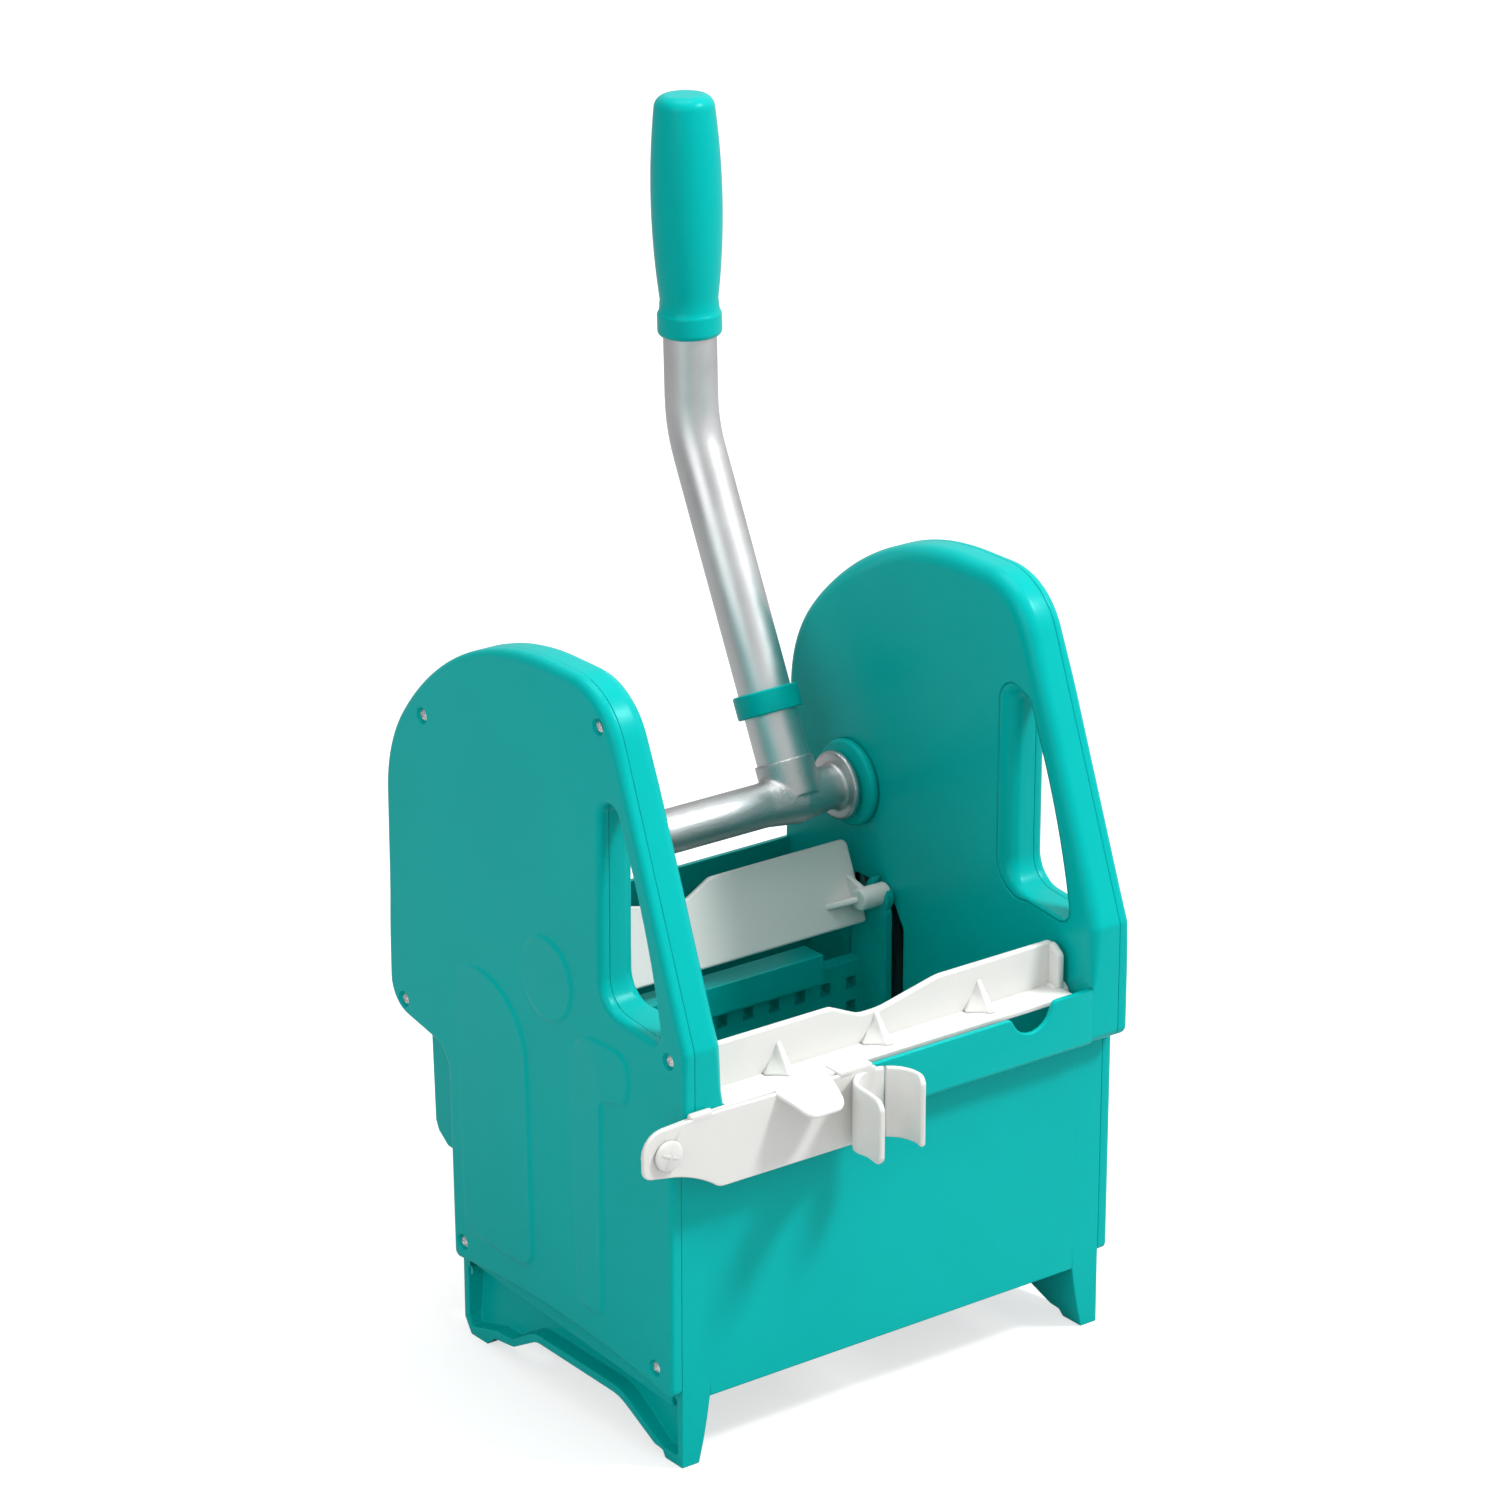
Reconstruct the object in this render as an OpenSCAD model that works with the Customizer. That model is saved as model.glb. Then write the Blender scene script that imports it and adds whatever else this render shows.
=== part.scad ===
// Lever press mop wringer, in millimetres.
// The model is drawn with x = 0 midway between the cheeks, y = 0 on the lower front wall
// and z = 0 on the lower edge of the side covers, and is then set down on its feet.

/* [Frame] */
// Clear width between the two cheeks
inner_w = 230.8; // [215:0.2:250]
// Depth of a cheek shell, from its inner face to the seam with the cover
cheek_t = 17.1; // [16.6:0.1:22]
// Depth of a side cover, from the seam to its outer face
cover_t = 7.4; // [6.6:0.1:12]
// Wall thickness of the moulded shells
wall = 3; // [2.5:0.1:3.2]
// Reach of the upper front face in front of the lower front wall
overhang = 11.3; // [10.5:0.1:14]
// Rear face of the upper part, from the lower front wall
rear_y = 240.8; // [238:0.2:260]
// Rear edge of the lower part, from the lower front wall
low_rear_y = 189.2; // [188.6:0.2:192]
// Top of the cheeks above the covers' lower edge
cheek_top = 351.5; // [346:0.5:362]
// Height of the covers' lower edge above the floor
foot_h = 40.6; // [30:0.2:60]
// Width of a leg
leg_w = 17.3; // [14:0.1:20]

/* [Side outline] */
// Underside of the upper part at its front step
step_z = 122.9; // [118:0.1:124]
// Height where the front face begins to slant
slant_z = 183.5; // [180:0.5:187]
// Radius of the front top of a cheek
front_top_r = 40; // [36:1:43]
// Distance of that radius' centre from the front wall
front_top_y = 80.5; // [76:0.5:84]
// Radius of the long curve over the rear top
rear_top_r = 155.5; // [150:0.5:160]
// Radius of the rear shoulder
shoulder_r = 77; // [72:1:82]
// Angle of the line on which those two curves meet
shoulder_a = 37; // [35:0.5:40]
// Radius of the lower rear corner of the upper part
tail_r = 18; // [14:0.5:20]
// Height of that corner's centre
tail_z = 142; // [139:0.5:146]
// Radius of the hollow between upper and lower part
hollow_r = 15; // [10:0.5:18]
// Rise of the arched lower edge
arch_rise = 8; // [6:0.5:9]

/* [Carrying window] */
// Rear edge of the window
window_rear = 57; // [56:0.2:60]
// Front edge of the window, at its foot
window_front = 9.6; // [9:0.1:12]
// Lower edge of the window
window_low = 183.5; // [182.5:0.1:188]
// Upper edge of the window
window_high = 294; // [288:0.5:298]

/* [Lever] */
// Height of the pivot shaft
shaft_z = 205.2; // [203:0.2:208]
// Distance of the pivot shaft from the front wall
shaft_y = 184.6; // [183:0.2:186]
// Radius of the pivot shaft
shaft_r = 11.75; // [10:0.05:12.5]
// Sideways place of the lever
lever_x = 76.7; // [60:0.1:82]
// Lean of the lower lever tube from upright
lean_low = 25.67; // [20:0.1:30]
// Lean of the upper lever tube from upright
lean_high = 1.95; // [0:0.05:6]
// Length from the shaft axis to the bend point
low_len = 200.6; // [170:0.5:230]
// Radius of the bend at the tube's centre line
bend_r = 70; // [50:1:90]
// Radius of the lever tube
tube_r = 14; // [12:0.1:14.5]
// Wall of the lever tube
tube_wall = 2; // [1.5:0.1:3]
// Length of the socket from the shaft axis
socket_len = 20; // [18:0.5:30]
// Radius of the socket
socket_r = 15.5; // [15:0.1:17]
// Start of the collar, from the shaft axis
collar_at = 45; // [32:0.5:80]
// Width of the collar
collar_w = 12.5; // [8:0.5:20]
// Radius of the collar
collar_r = 17.25; // [15.5:0.05:19]
// Start of the grip, from the bend point
grip_at = 48; // [30:1:60]
// Length of the grip
grip_len = 126.5; // [110:0.5:140]
// Largest radius of the grip
grip_r = 18.5; // [17.5:0.1:20]
// Wall of the grip over the tube's end
grip_cap = 9; // [5:0.5:14]
// Radius of the flange on the shaft
flange_r = 18.5; // [15:0.1:22]
// Inner face of that flange, back from the cheek
flange_back = 12.1; // [11:0.1:14]
// Thickness of that flange
flange_t = 3.5; // [2:0.1:4]
// Radius of the bushing's flange
bushing_r = 23.3; // [19:0.1:26]
// Thickness of the bushing's flange
bushing_t = 6.4; // [4:0.1:7]
// Wall of the bushing's sleeve
sleeve_wall = 3; // [2:0.1:3.4]

/* [Press drive] */
// Length of a crank
crank_len = 125; // [122:0.5:126]
// Forward angle of the cranks at rest
crank_rest = 6; // [4:0.5:7]
// Swing of the lever
swing = 60; // [50:1:60]
// Thickness of a crank
crank_t = 6; // [4:0.1:6.2]
// Radius of the crank hub
hub_r = 18; // [16.5:0.1:20]
// Radius of a crank's outer end
crank_end_r = 9; // [8:0.1:10]
// Radius of a cam roller
roller_r = 7; // [6:0.1:7.4]
// Radius of a crank pin
crank_pin_r = 4; // [3:0.1:4.4]
// Thickness of a push arm
arm_t = 4; // [3:0.1:4]
// Strip of the push arm around its slot
arm_strip = 4; // [3:0.1:4.5]
// Height of the guide slots' middle
guide_z = 51; // [48:0.5:54]
// Height of a guide slot
guide_h = 18; // [16:0.5:20]
// Wall of a guide shoe
shoe_wall = 1.7; // [1.2:0.1:2.2]
// Length of a push arm's lug, along the travel
lug_len = 30; // [24:1:32]
// Radius of a return spring's coil
spring_r = 16.6; // [15.6:0.1:18]
// Wire of a return spring
spring_wire = 3.2; // [2.4:0.1:3.4]

/* [Press plate] */
// Front face of the perforated plate
plate_y = 167; // [165:0.2:169]
// Thickness of the plate and of its flanges
plate_t = 4; // [3:0.1:4.4]
// Lower edge of the plate
plate_low = 26; // [25:0.5:32]
// Upper edge of the plate beside the shoulder
plate_high = 112; // [110:0.5:115]
// Upper edge of the shoulder
hump_z = 124; // [121:0.5:127]
// Half width of the shoulder
hump_x = 78; // [60:1:95]
// Front face of the shoulder
hump_y = 160; // [157:0.5:163]
// Front edge of the side flanges
wing_y = 147; // [145:0.5:149]
// Gap between the side flanges and the cheeks
wing_gap = 2.4; // [1.5:0.1:3]
// Side of a square hole
hole_w = 7; // [4:0.1:9]
// Pitch of the holes across
hole_px = 17; // [12:0.5:20]
// Pitch of the holes in height
hole_pz = 13.6; // [10:0.2:16]
// Height of the upper row of holes
hole_top = 100; // [95:0.5:104]
// Rows of holes
hole_rows = 5; // [1:1:5]

/* [Jaws] */
// Distance of the rear jaw's axle from the front wall
rear_axle_y = 155; // [153:0.2:157]
// Height of the rear jaw's axle
rear_axle_z = 152; // [150:0.2:153]
// Radius of the rear jaw's axle
rear_axle_r = 6; // [4.5:0.1:6.2]
// Half width of the rear jaw's plate
rear_jaw_x = 107; // [100:0.5:108]
// Lean of the rear jaw
jaw_lean = 24; // [18:0.5:26]
// Width of the rear jaw's plate, up its slope
rear_jaw_h = 45; // [38:0.5:46]
// Thickness of the jaws' plates
jaw_t = 4; // [3:0.1:4.5]
// Distance of the front jaw's pins from the front wall
front_pin_y = 11.7; // [11:0.1:13]
// Height of the front jaw's pins
front_pin_z = 145.3; // [145:0.1:147]
// Radius of the front jaw's pins
front_pin_r = 4.5; // [3.5:0.1:5]
// Rear face of the front jaw's plate
front_jaw_y = 18; // [17:0.1:22]
// Lower edge of the front jaw
front_jaw_low = 138; // [136:0.5:140]
// Upper edge of the front jaw
front_jaw_high = 173; // [168:0.5:178]
// Front edge of the front jaw's ledge
ledge_y = -3; // [-3.4:0.1:0]
// Top of the front jaw's ledge
ledge_z = 150; // [148:0.1:150.2]
// Depth of the dip in the middle of both jaws
dip = 8; // [6:0.5:10]
// Distance of the dip's steep side from the middle
dip_x = 27; // [24:1:30]

/* [Front panel] */
// Top edge of the front band
band_top = 150.8; // [150.6:0.1:152]
// Lower edge of the front wall
front_low = -6; // [-10:0.5:0]
// Sideways place of the two half-round notches
notch_x = 76.3; // [70:0.1:90]
// Radius of the notches
notch_r = 13; // [9:0.5:15]
// Height of the notches' centre
notch_z = 153.3; // [152.5:0.1:156]

/* [Rear panel] */
// Top edge of the rear wall
rear_top = 157; // [150:0.5:165]
// Lower edge of the bulge
bulge_low = 50; // [44:0.5:60]
// Rear face of the bulge
bulge_y = 229; // [225:0.5:234]
// Half width of the bulge
bulge_x = 122; // [120:0.5:126]
// Height of the drain floor
floor_z = 16; // [12:0.5:20]

/* [Handle holder] */
// Left end of the arm, from the middle of the wringer
arm_end_x = 152.5; // [150:0.5:158]
// Height of the arm's pin
pin_z = 140; // [138:0.5:142]
// Radius of the arm's round end
arm_end_r = 14; // [12:0.5:15]
// Thickness of the rail's web
web_t = 1.8; // [1.5:0.1:2.4]
// Thickness of the arm
bar_t = 2.3; // [2:0.1:3.5]
// Lower edge of the arm
bar_low = 114; // [108:0.5:118]
// Upper edge of the arm and of the rail
bar_high = 154.5; // [153.5:0.1:157]
// Radius of the snap pin
snap_r = 4; // [3:0.1:5]
// Radius of the snap pin's head
snap_head_r = 8; // [6:0.1:9]
// Sideways place of the clip, left of the middle
clip_x = 30; // [26:0.5:34]
// Bore radius of the clip
clip_r = 15; // [12:0.1:15.5]
// Wall of the clip
clip_wall = 3; // [2.5:0.1:4]
// Upper edge of the clip
clip_high = 151; // [146:0.5:151]

/* [Screws and fits] */
// Radius of a cover screw's head
head_r = 3.6; // [3:0.1:4]
// Height of a cover screw's head
head_h = 1.6; // [1.2:0.1:2]
// Radius of a cover screw's shank
screw_r = 1.9; // [1.5:0.05:2.2]
// Length of a cover screw's shank
screw_len = 14; // [10:0.5:16]
// Radius of a screw boss
boss_r = 4.6; // [4.2:0.1:5]
// Gap around pieces that move past each other
clear = 0.3; // [0.25:0.05:0.4]
// Gap around shafts and pins in their bores
fit = 0.05; // [0.02:0.01:0.08]

/* [Hidden] */
$fn = 64;

// Extra length of a cutting tool past the face it cuts
past = 1;
teal = [0.0, 0.65, 0.62];
white_plastic = [0.96, 0.96, 0.95];
aluminium = [0.75, 0.76, 0.77];
steel = [0.6, 0.61, 0.63];

// Places across the wringer, on its right half
x_in = inner_w / 2;
x_cavity = x_in + wall;
x_seam = x_in + cheek_t;
x_out = x_seam + cover_t;
x_lid = x_out - wall;
side_gap = 0.8;
x_arm = x_cavity + side_gap;
x_crank = x_arm + arm_t + side_gap;
x_spring = x_crank + crank_t + side_gap / 2;
x_hub = x_lid - side_gap;
x_wing = x_in - wing_gap;

// Press travel and the cranks' angle
travel = crank_len * (sin(crank_rest + swing) - sin(crank_rest));
roller_path = roller_r + clear;
lug_y = wing_y + 1;
lug_h = guide_h - 2 * clear - 2 * shoe_wall - 2 * fit;

// Side outline as circles [y, z, radius], counterclockwise; a hollow has a negative radius
top_c = cheek_top - rear_top_r;
shoulder_c = [rear_y - shoulder_r, top_c + (rear_top_r - shoulder_r) * sin(shoulder_a)];
corner = 4;
arch_r = 650;
side_outline = [
    [corner, corner - 1, corner],
    [115, arch_rise - arch_r, -arch_r],
    [low_rear_y - 2 - corner, 4.5 + corner, corner],
    [low_rear_y + hollow_r, tail_z - 37, -hollow_r],
    [rear_y - tail_r, tail_z, tail_r],
    [shoulder_c.x, shoulder_c.y, shoulder_r],
    [shoulder_c.x - (rear_top_r - shoulder_r) * cos(shoulder_a), top_c, rear_top_r],
    [front_top_y, cheek_top - front_top_r, front_top_r],
    [9 - overhang, slant_z, 9],
    [5.5 - overhang, step_z + 5.5, 5.5],
    [-1.5, step_z - 1.5, -1.5]];

// Window outline in the same form; its front edge bows a little to the front
window_c = 5.5;
window_rear_c = 16;
window_bow = 380;
bow_back = 373.3;
bow_down = 173.4;
window_outline = [
    [window_front + window_c, window_low + window_c, window_c],
    [window_rear - window_rear_c, window_low + 2.5 + window_rear_c, window_rear_c],
    [window_rear - 0.3 - 8, window_high - 8, 8],
    [window_front + bow_back, window_high - bow_down, window_bow]];

// Opening of the inner wall behind the press plate, and the screws' places
back_opening = [
    [wing_y - 3.5, guide_z - guide_h / 2 + 3, 3],
    [low_rear_y - wall - 3, guide_z - guide_h / 2 + 3, 3],
    [low_rear_y - wall - 7, rear_axle_z - 1.5, 5],
    [rear_axle_y + 0.5, rear_axle_z - 1.5, 5],
    [wing_y - 3, rear_axle_z - 17.5, 4]];
screw_places = [
    [shoulder_c.x + 0.555 * shoulder_r, shoulder_c.y + 0.64 * shoulder_r],
    [front_top_y - 24, cheek_top - front_top_r + 19.9],
    [rear_y - 12.2, tail_z - 9.9],
    [13.2 - overhang, slant_z - 5.5],
    [low_rear_y - 9.7, 14.4],
    [14.3, 10.6]];

// Angle of the outer normal of the line that touches two circles
function tangent(p, q) =
    atan2(q[1] - p[1], q[0] - p[0])
    - acos(max(-1, min(1, (p[2] - q[2]) / norm([q[0] - p[0], q[1] - p[1]]))));

// Turn from one normal to the next, positive round a corner and negative round a hollow
function turned(a, r) =
    let (t = r > 0 ? a - 360 * floor(a / 360) : a - 360 * ceil(a / 360))
    abs(t) > 300 ? 0 : t;

// Points of an outline given as circles, drawn in by inset
function smooth(circles, inset = 0) =
    let (n = len(circles),
         c = [for (k = circles) [k[0], k[1], k[2] > 0 ? max(k[2] - inset, 0.4) : k[2] - inset]])
    [for (i = [0 : n - 1])
        let (a = tangent(c[(i + n - 1) % n], c[i]),
             t = turned(tangent(c[i], c[(i + 1) % n]) - a, c[i][2]),
             steps = max(1, ceil(abs(t) / 18), ceil(abs(t * c[i][2]) / 400)))
        for (j = [0 : steps])
            [c[i][0] + c[i][2] * cos(a + t * j / steps), c[i][1] + c[i][2] * sin(a + t * j / steps)]];

// Place of the cam roller in the push arm's own frame, at an angle of the lever
function cam(a) = [
    shaft_y - crank_len * sin(crank_rest + a) + travel * a / swing,
    shaft_z - crank_len * cos(crank_rest + a)];
function cam_dir(a) = atan2(
    crank_len * sin(crank_rest + a) * PI / 180,
    travel / swing - crank_len * cos(crank_rest + a) * PI / 180);
function ray(r, a) = [r * cos(a), r * sin(a)];

// Outline of a strip along the roller's way, with half width w and round ends
function cam_strip(w) = concat(
    [for (a = [0 : swing / 12 : swing]) cam(a) + ray(w, cam_dir(a) + 90)],
    [for (b = [75 : -15 : -75]) cam(swing) + ray(w, cam_dir(swing) + b)],
    [for (a = [swing : -swing / 12 : 0]) cam(a) + ray(w, cam_dir(a) - 90)],
    [for (b = [-105 : -15 : -255]) cam(0) + ray(w, cam_dir(0) + b)]);

// Helpers: a (y, z) profile drawn from x0 to x1, a rod along x, an (x, z) profile along y
module across(x0, x1) {
    translate([x0, 0, 0]) rotate([90, 0, 90]) linear_extrude(x1 - x0) children();
}
module rod(x0, x1, p, r) {
    translate([x0, p[0], p[1]]) rotate([0, 90, 0]) cylinder(h = x1 - x0, r = r);
}
module along(y0, y1) {
    translate([0, y1, 0]) rotate([90, 0, 0]) linear_extrude(y1 - y0) children();
}
module side(s) {
    if (s > 0) children();
    else mirror([1, 0, 0]) children();
}

// The model's origin lies under the middle of its bounding box
grip_belly = 72;
grip_bow = 421;
grip_y = shaft_y + low_len * sin(lean_low) + (grip_at + grip_belly) * sin(lean_high)
    + (grip_r - grip_bow) * cos(lean_high) + grip_bow;
web_y = -overhang - clear;
bar_y = web_y - web_t - clear;
clip_y = bar_y - bar_t - clip_r;
lip_y = clip_y - 20;
module placed() {
    translate([(arm_end_x + arm_end_r - x_out) / 2, -(grip_y + lip_y) / 2, foot_h]) children();
}

// Side covers, drawn on the right and mirrored
module cover_half() {
    difference() {
        union() {
            difference() {
                across(x_seam, x_out) polygon(smooth(side_outline));
                across(x_seam - past, x_lid) polygon(smooth(side_outline, wall));
            }
            across(x_seam, x_out) polygon(smooth(window_outline, -wall));
            for (p = screw_places) rod(x_seam, x_out, p, boss_r);
        }
        across(x_seam - past, x_out + past) polygon(smooth(window_outline));
        for (p = screw_places) {
            rod(x_seam - past, x_out + past, p, screw_r + fit);
            rod(x_out - head_h, x_out + past, p, head_r + fit);
        }
    }
}
module cover_left() { color(teal) placed() side(-1) cover_half(); }
module cover_right() { color(teal) placed() side(1) cover_half(); }

// Lower rim of a cheek, between and around its legs, as [y, share of the foot's height below the covers]
leg_t = 3.5;
rim_t = 4.2;
foot_len = 15;
heel = 6;
leg_back = low_rear_y - 1;
rim_points = [
    [0, 1], [foot_len, 1], [foot_len + 1.5, 0.92], [foot_len + 8.3, 0.9], [35.7, 0.73], [44.7, 0.63],
    [52.4, 0.565], [91, 0.545], [97, 0.565], [102, 0.54], [121.8, 0.535], [130, 0.575], [137, 0.69],
    [143.5, 0.785], [152.4, 0.83], [leg_back - foot_len - 2 * heel, 0.855], [leg_back - foot_len - heel, 1],
    [leg_back - heel, 1], [leg_back, 0.8]];
rim_low = [for (p = rim_points) [p[0], -p[1] * foot_h]];
rim_high = [[leg_back, 6], [150, 8.5], [110, 9.5], [60, 7.2], [20, 2.5], [0, 1]];
dish_t = 3.5;
dish_depth = 10;
boss_place = [85, -14];

// Points of a counterclockwise outline, moved inwards by d
function drawn_in(points, d) =
    let (n = len(points))
    [for (i = [0 : n - 1])
        let (a = points[i] - points[(i + n - 1) % n], b = points[(i + 1) % n] - points[i],
             p = [-a.y, a.x] / norm(a), q = [-b.y, b.x] / norm(b))
        points[i] + (p + q) * d / (1 + p * q)];

module legs() {
    x_panel = x_seam - dish_depth - dish_t;
    dish = concat(rim_low, [for (p = rim_high) p + [0, 2 * rim_t]]);
    difference() {
        across(x_panel, x_seam) polygon(concat(rim_low, rim_high));
        across(x_seam - dish_depth, x_seam + past) polygon(drawn_in(dish, rim_t));
    }
    intersection() {
        across(x_in, x_seam) polygon(concat(rim_low, rim_high));
        for (y = [0, leg_back - leg_t])
            along(y, y + leg_t)
                polygon([[x_seam - leg_w, 6], [x_seam - leg_w, -6], [x_seam - leg_w + 3, 16 - foot_h],
                    [x_seam - leg_w + 7, -foot_h], [x_seam, -foot_h], [x_seam, 6]]);
    }
    difference() {
        rod(x_panel, x_seam - leg_t, boss_place, boss_r);
        rod(x_seam - dish_depth, x_seam, boss_place, screw_r);
    }
}

// Cheeks: shell, legs, window wall, bosses, bushing seat and the openings for the press drive
module cheek_half() {
    difference() {
        union() {
            difference() {
                across(x_in, x_seam) polygon(smooth(side_outline));
                across(x_cavity, x_seam + past) polygon(smooth(side_outline, wall));
            }
            across(x_in, x_seam) polygon(smooth(window_outline, -wall));
            for (p = screw_places) rod(x_in, x_seam, p, boss_r);
            rod(x_in, x_seam, spring_post, post_r);
            legs();
        }
        across(x_in - past, x_seam + past) polygon(smooth(window_outline));
        rod(x_in - past, x_cavity + past, [shaft_y, shaft_z], shaft_r + fit + sleeve_wall + fit);
        rod(x_in - past, x_cavity + past, [front_pin_y, front_pin_z], front_pin_r + fit);
        across(x_in - past, x_cavity + past) polygon(smooth(back_opening));
        translate([x_in - past, slot_y, guide_z - guide_h / 2])
            cube([wall + 2 * past, wing_y - slot_y, guide_h]);
        for (p = screw_places) rod(x_seam - screw_depth, x_seam + past, p, screw_r + fit);
    }
}
screw_depth = screw_len - cover_t + head_h + 1;
slot_y = lug_y - travel - shoe_wall - 2 * clear;
post_r = 3.5;
post_gap = 27;
spring_post = [shaft_y + post_gap, shaft_z + spring_r + fit + post_r];
module cheek_left() { color(teal) placed() side(-1) cheek_half(); }
module cheek_right() { color(teal) placed() side(1) cheek_half(); }

module cover_screws() {
    color(steel) placed()
        for (s = [-1, 1]) side(s)
            for (p = screw_places) {
                rod(x_out - head_h, x_out, p, head_r);
                rod(x_out - head_h - screw_len, x_out - head_h, p, screw_r);
            }
}

// Walls between the cheeks; the band's upper edge stands higher past the right notch
band_lift = 3;
notch_lip = 3.5;
function notch_reach(top) = sqrt(pow(notch_r + notch_lip, 2) - pow(notch_z - top + notch_lip, 2)) + 0.2;
function notch_outline(left, right) = let (a = notch_x - notch_reach(left), b = notch_x + notch_reach(right)) [
    [notch_x, notch_z, notch_r], [b, right - notch_lip + 0.05, -notch_lip],
    [b + 3, right + 0.5, 0.4], [b + 3, right + 5, 0.4], [a - 3, right + 5, 0.4],
    [a - 3, left + 0.5, 0.4], [a, left - notch_lip + 0.05, -notch_lip]];
module front_panel() {
    color(teal) placed() difference() {
        union() {
            across(-x_in, x_in)
                polygon([[0, front_low], [0, step_z], [2 - overhang, step_z], [-overhang, step_z + 2],
                    [-overhang, band_top], [wall - overhang, band_top], [wall - overhang, step_z + wall],
                    [wall, step_z + wall], [wall, front_low]]);
            translate([notch_x, -overhang, band_top - past]) cube([x_in - notch_x, wall, past + band_lift]);
        }
        for (s = [-1, 1])
            side(s) along(-overhang - past, wall - overhang + past)
                polygon(smooth(notch_outline(band_top, band_top + (s > 0 ? band_lift : 0))));
    }
}

bulge_profile = [
    [low_rear_y - wall, bulge_low], [bulge_y - 13, bulge_low], [bulge_y - 4.5, bulge_low + 6],
    [bulge_y - 2, bulge_low + 11], [bulge_y, tail_z - 30], [bulge_y, tail_z - tail_r - 3],
    [low_rear_y - wall, tail_z - tail_r - 3]];
bulge_hollow = [
    [low_rear_y - 2 * wall, bulge_low + wall], [bulge_y - 14, bulge_low + wall],
    [bulge_y - 4.5 - wall, bulge_low + 8], [bulge_y - 2 - wall, bulge_low + 12],
    [bulge_y - wall, tail_z - 30], [bulge_y - wall, tail_z], [low_rear_y - 2 * wall, tail_z]];
module rear_panel() {
    color(teal) placed() difference() {
        union() {
            across(-bulge_x, bulge_x) polygon(bulge_profile);
            across(-x_in, x_in) {
                translate([low_rear_y - wall, front_low]) square([wall, bulge_low - front_low + past]);
                translate([bulge_y - wall, tail_z - tail_r - 6])
                    square([rear_y - bulge_y + wall, 2 * wall]);
                translate([rear_y - wall, tail_z - tail_r - 6]) square([wall, rear_top - tail_z + tail_r + 6]);
            }
        }
        across(wall - bulge_x, bulge_x - wall) polygon(bulge_hollow);
        for (s = [-1, 1])
            side(s) across(x_in, x_out) polygon(smooth(side_outline, -fit));
    }
}

// Drain floor with two rows of slots
slot_w = 7;
slot_pitch = 17;
module drain_floor() {
    floor_y = low_rear_y - 2 * wall;
    color(teal) placed() difference() {
        translate([-x_in, wall, floor_z]) cube([inner_w, floor_y, wall]);
        for (x = [-floor((x_in - slot_pitch) / slot_pitch) : floor((x_in - slot_pitch) / slot_pitch)])
            for (y = [0.08, 0.54])
                translate([x * slot_pitch - slot_w / 2, wall + y * floor_y, floor_z - past])
                    cube([slot_w, 0.38 * floor_y, wall + 2 * past]);
    }
}

// Lever and its shaft
module at_shaft() {
    translate([lever_x, shaft_y, shaft_z]) rotate([-lean_low, 0, 0]) children();
}
module at_bend() {
    at_shaft() translate([0, 0, low_len]) rotate([lean_low - lean_high, 0, 0]) children();
}
bend_tangent = bend_r * tan((lean_low - lean_high) / 2);
socket_seat = shaft_r + 0.6;
journal_r = shaft_r - 2.5;
tube_high = grip_at + grip_len - grip_cap;

module bushing_half() {
    difference() {
        union() {
            rod(x_in - bushing_t, x_in, [shaft_y, shaft_z], bushing_r);
            rod(x_in - past, x_crank - side_gap / 2, [shaft_y, shaft_z], shaft_r + fit + sleeve_wall);
        }
        rod(x_in - bushing_t - past, x_crank, [shaft_y, shaft_z], shaft_r + fit);
    }
}
module bushing_left() { color(teal) placed() side(-1) bushing_half(); }
module bushing_right() { color(teal) placed() side(1) bushing_half(); }

module pivot_shaft() {
    color(aluminium) placed() difference() {
        union() {
            rod(-x_crank, x_crank, [shaft_y, shaft_z], shaft_r);
            rod(-x_hub, x_hub, [shaft_y, shaft_z], journal_r);
            for (s = [-1, 1])
                side(s) rod(x_in - flange_back, x_in - flange_back + flange_t, [shaft_y, shaft_z], flange_r);
            at_shaft() cylinder(h = socket_len, r = socket_r);
            for (s = [-1, 1])
                translate([lever_x, shaft_y, shaft_z]) rotate([0, 90 * s, 0])
                    cylinder(h = 1.3 * socket_r, r1 = 0.92 * socket_r, r2 = shaft_r);
        }
        at_shaft() translate([0, 0, socket_seat]) cylinder(h = socket_len, r = tube_r + fit);
    }
}

// The bend is drawn a little thinner than the straight lengths, as bending leaves it
bend_thin = 0.05;
module tube_ring(thin) {
    difference() {
        circle(r = tube_r - thin);
        circle(r = tube_r - tube_wall + thin);
    }
}
module lever_tube() {
    color(aluminium) placed() {
        at_shaft() translate([0, 0, socket_seat + fit])
            linear_extrude(low_len - bend_tangent - socket_seat - fit) tube_ring(0);
        at_shaft() translate([0, -bend_r, low_len - bend_tangent]) rotate([90, 0, 90])
            rotate_extrude(angle = lean_low - lean_high) translate([bend_r, 0]) tube_ring(bend_thin);
        at_bend() translate([0, 0, bend_tangent]) linear_extrude(tube_high - bend_tangent - fit) tube_ring(0);
    }
}
module lever_collar() {
    color(teal) placed() at_shaft() translate([0, 0, collar_at])
        difference() {
            cylinder(h = collar_w, r = collar_r);
            translate([0, 0, -past]) cylinder(h = collar_w + 2 * past, r = tube_r + fit);
        }
}

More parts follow.
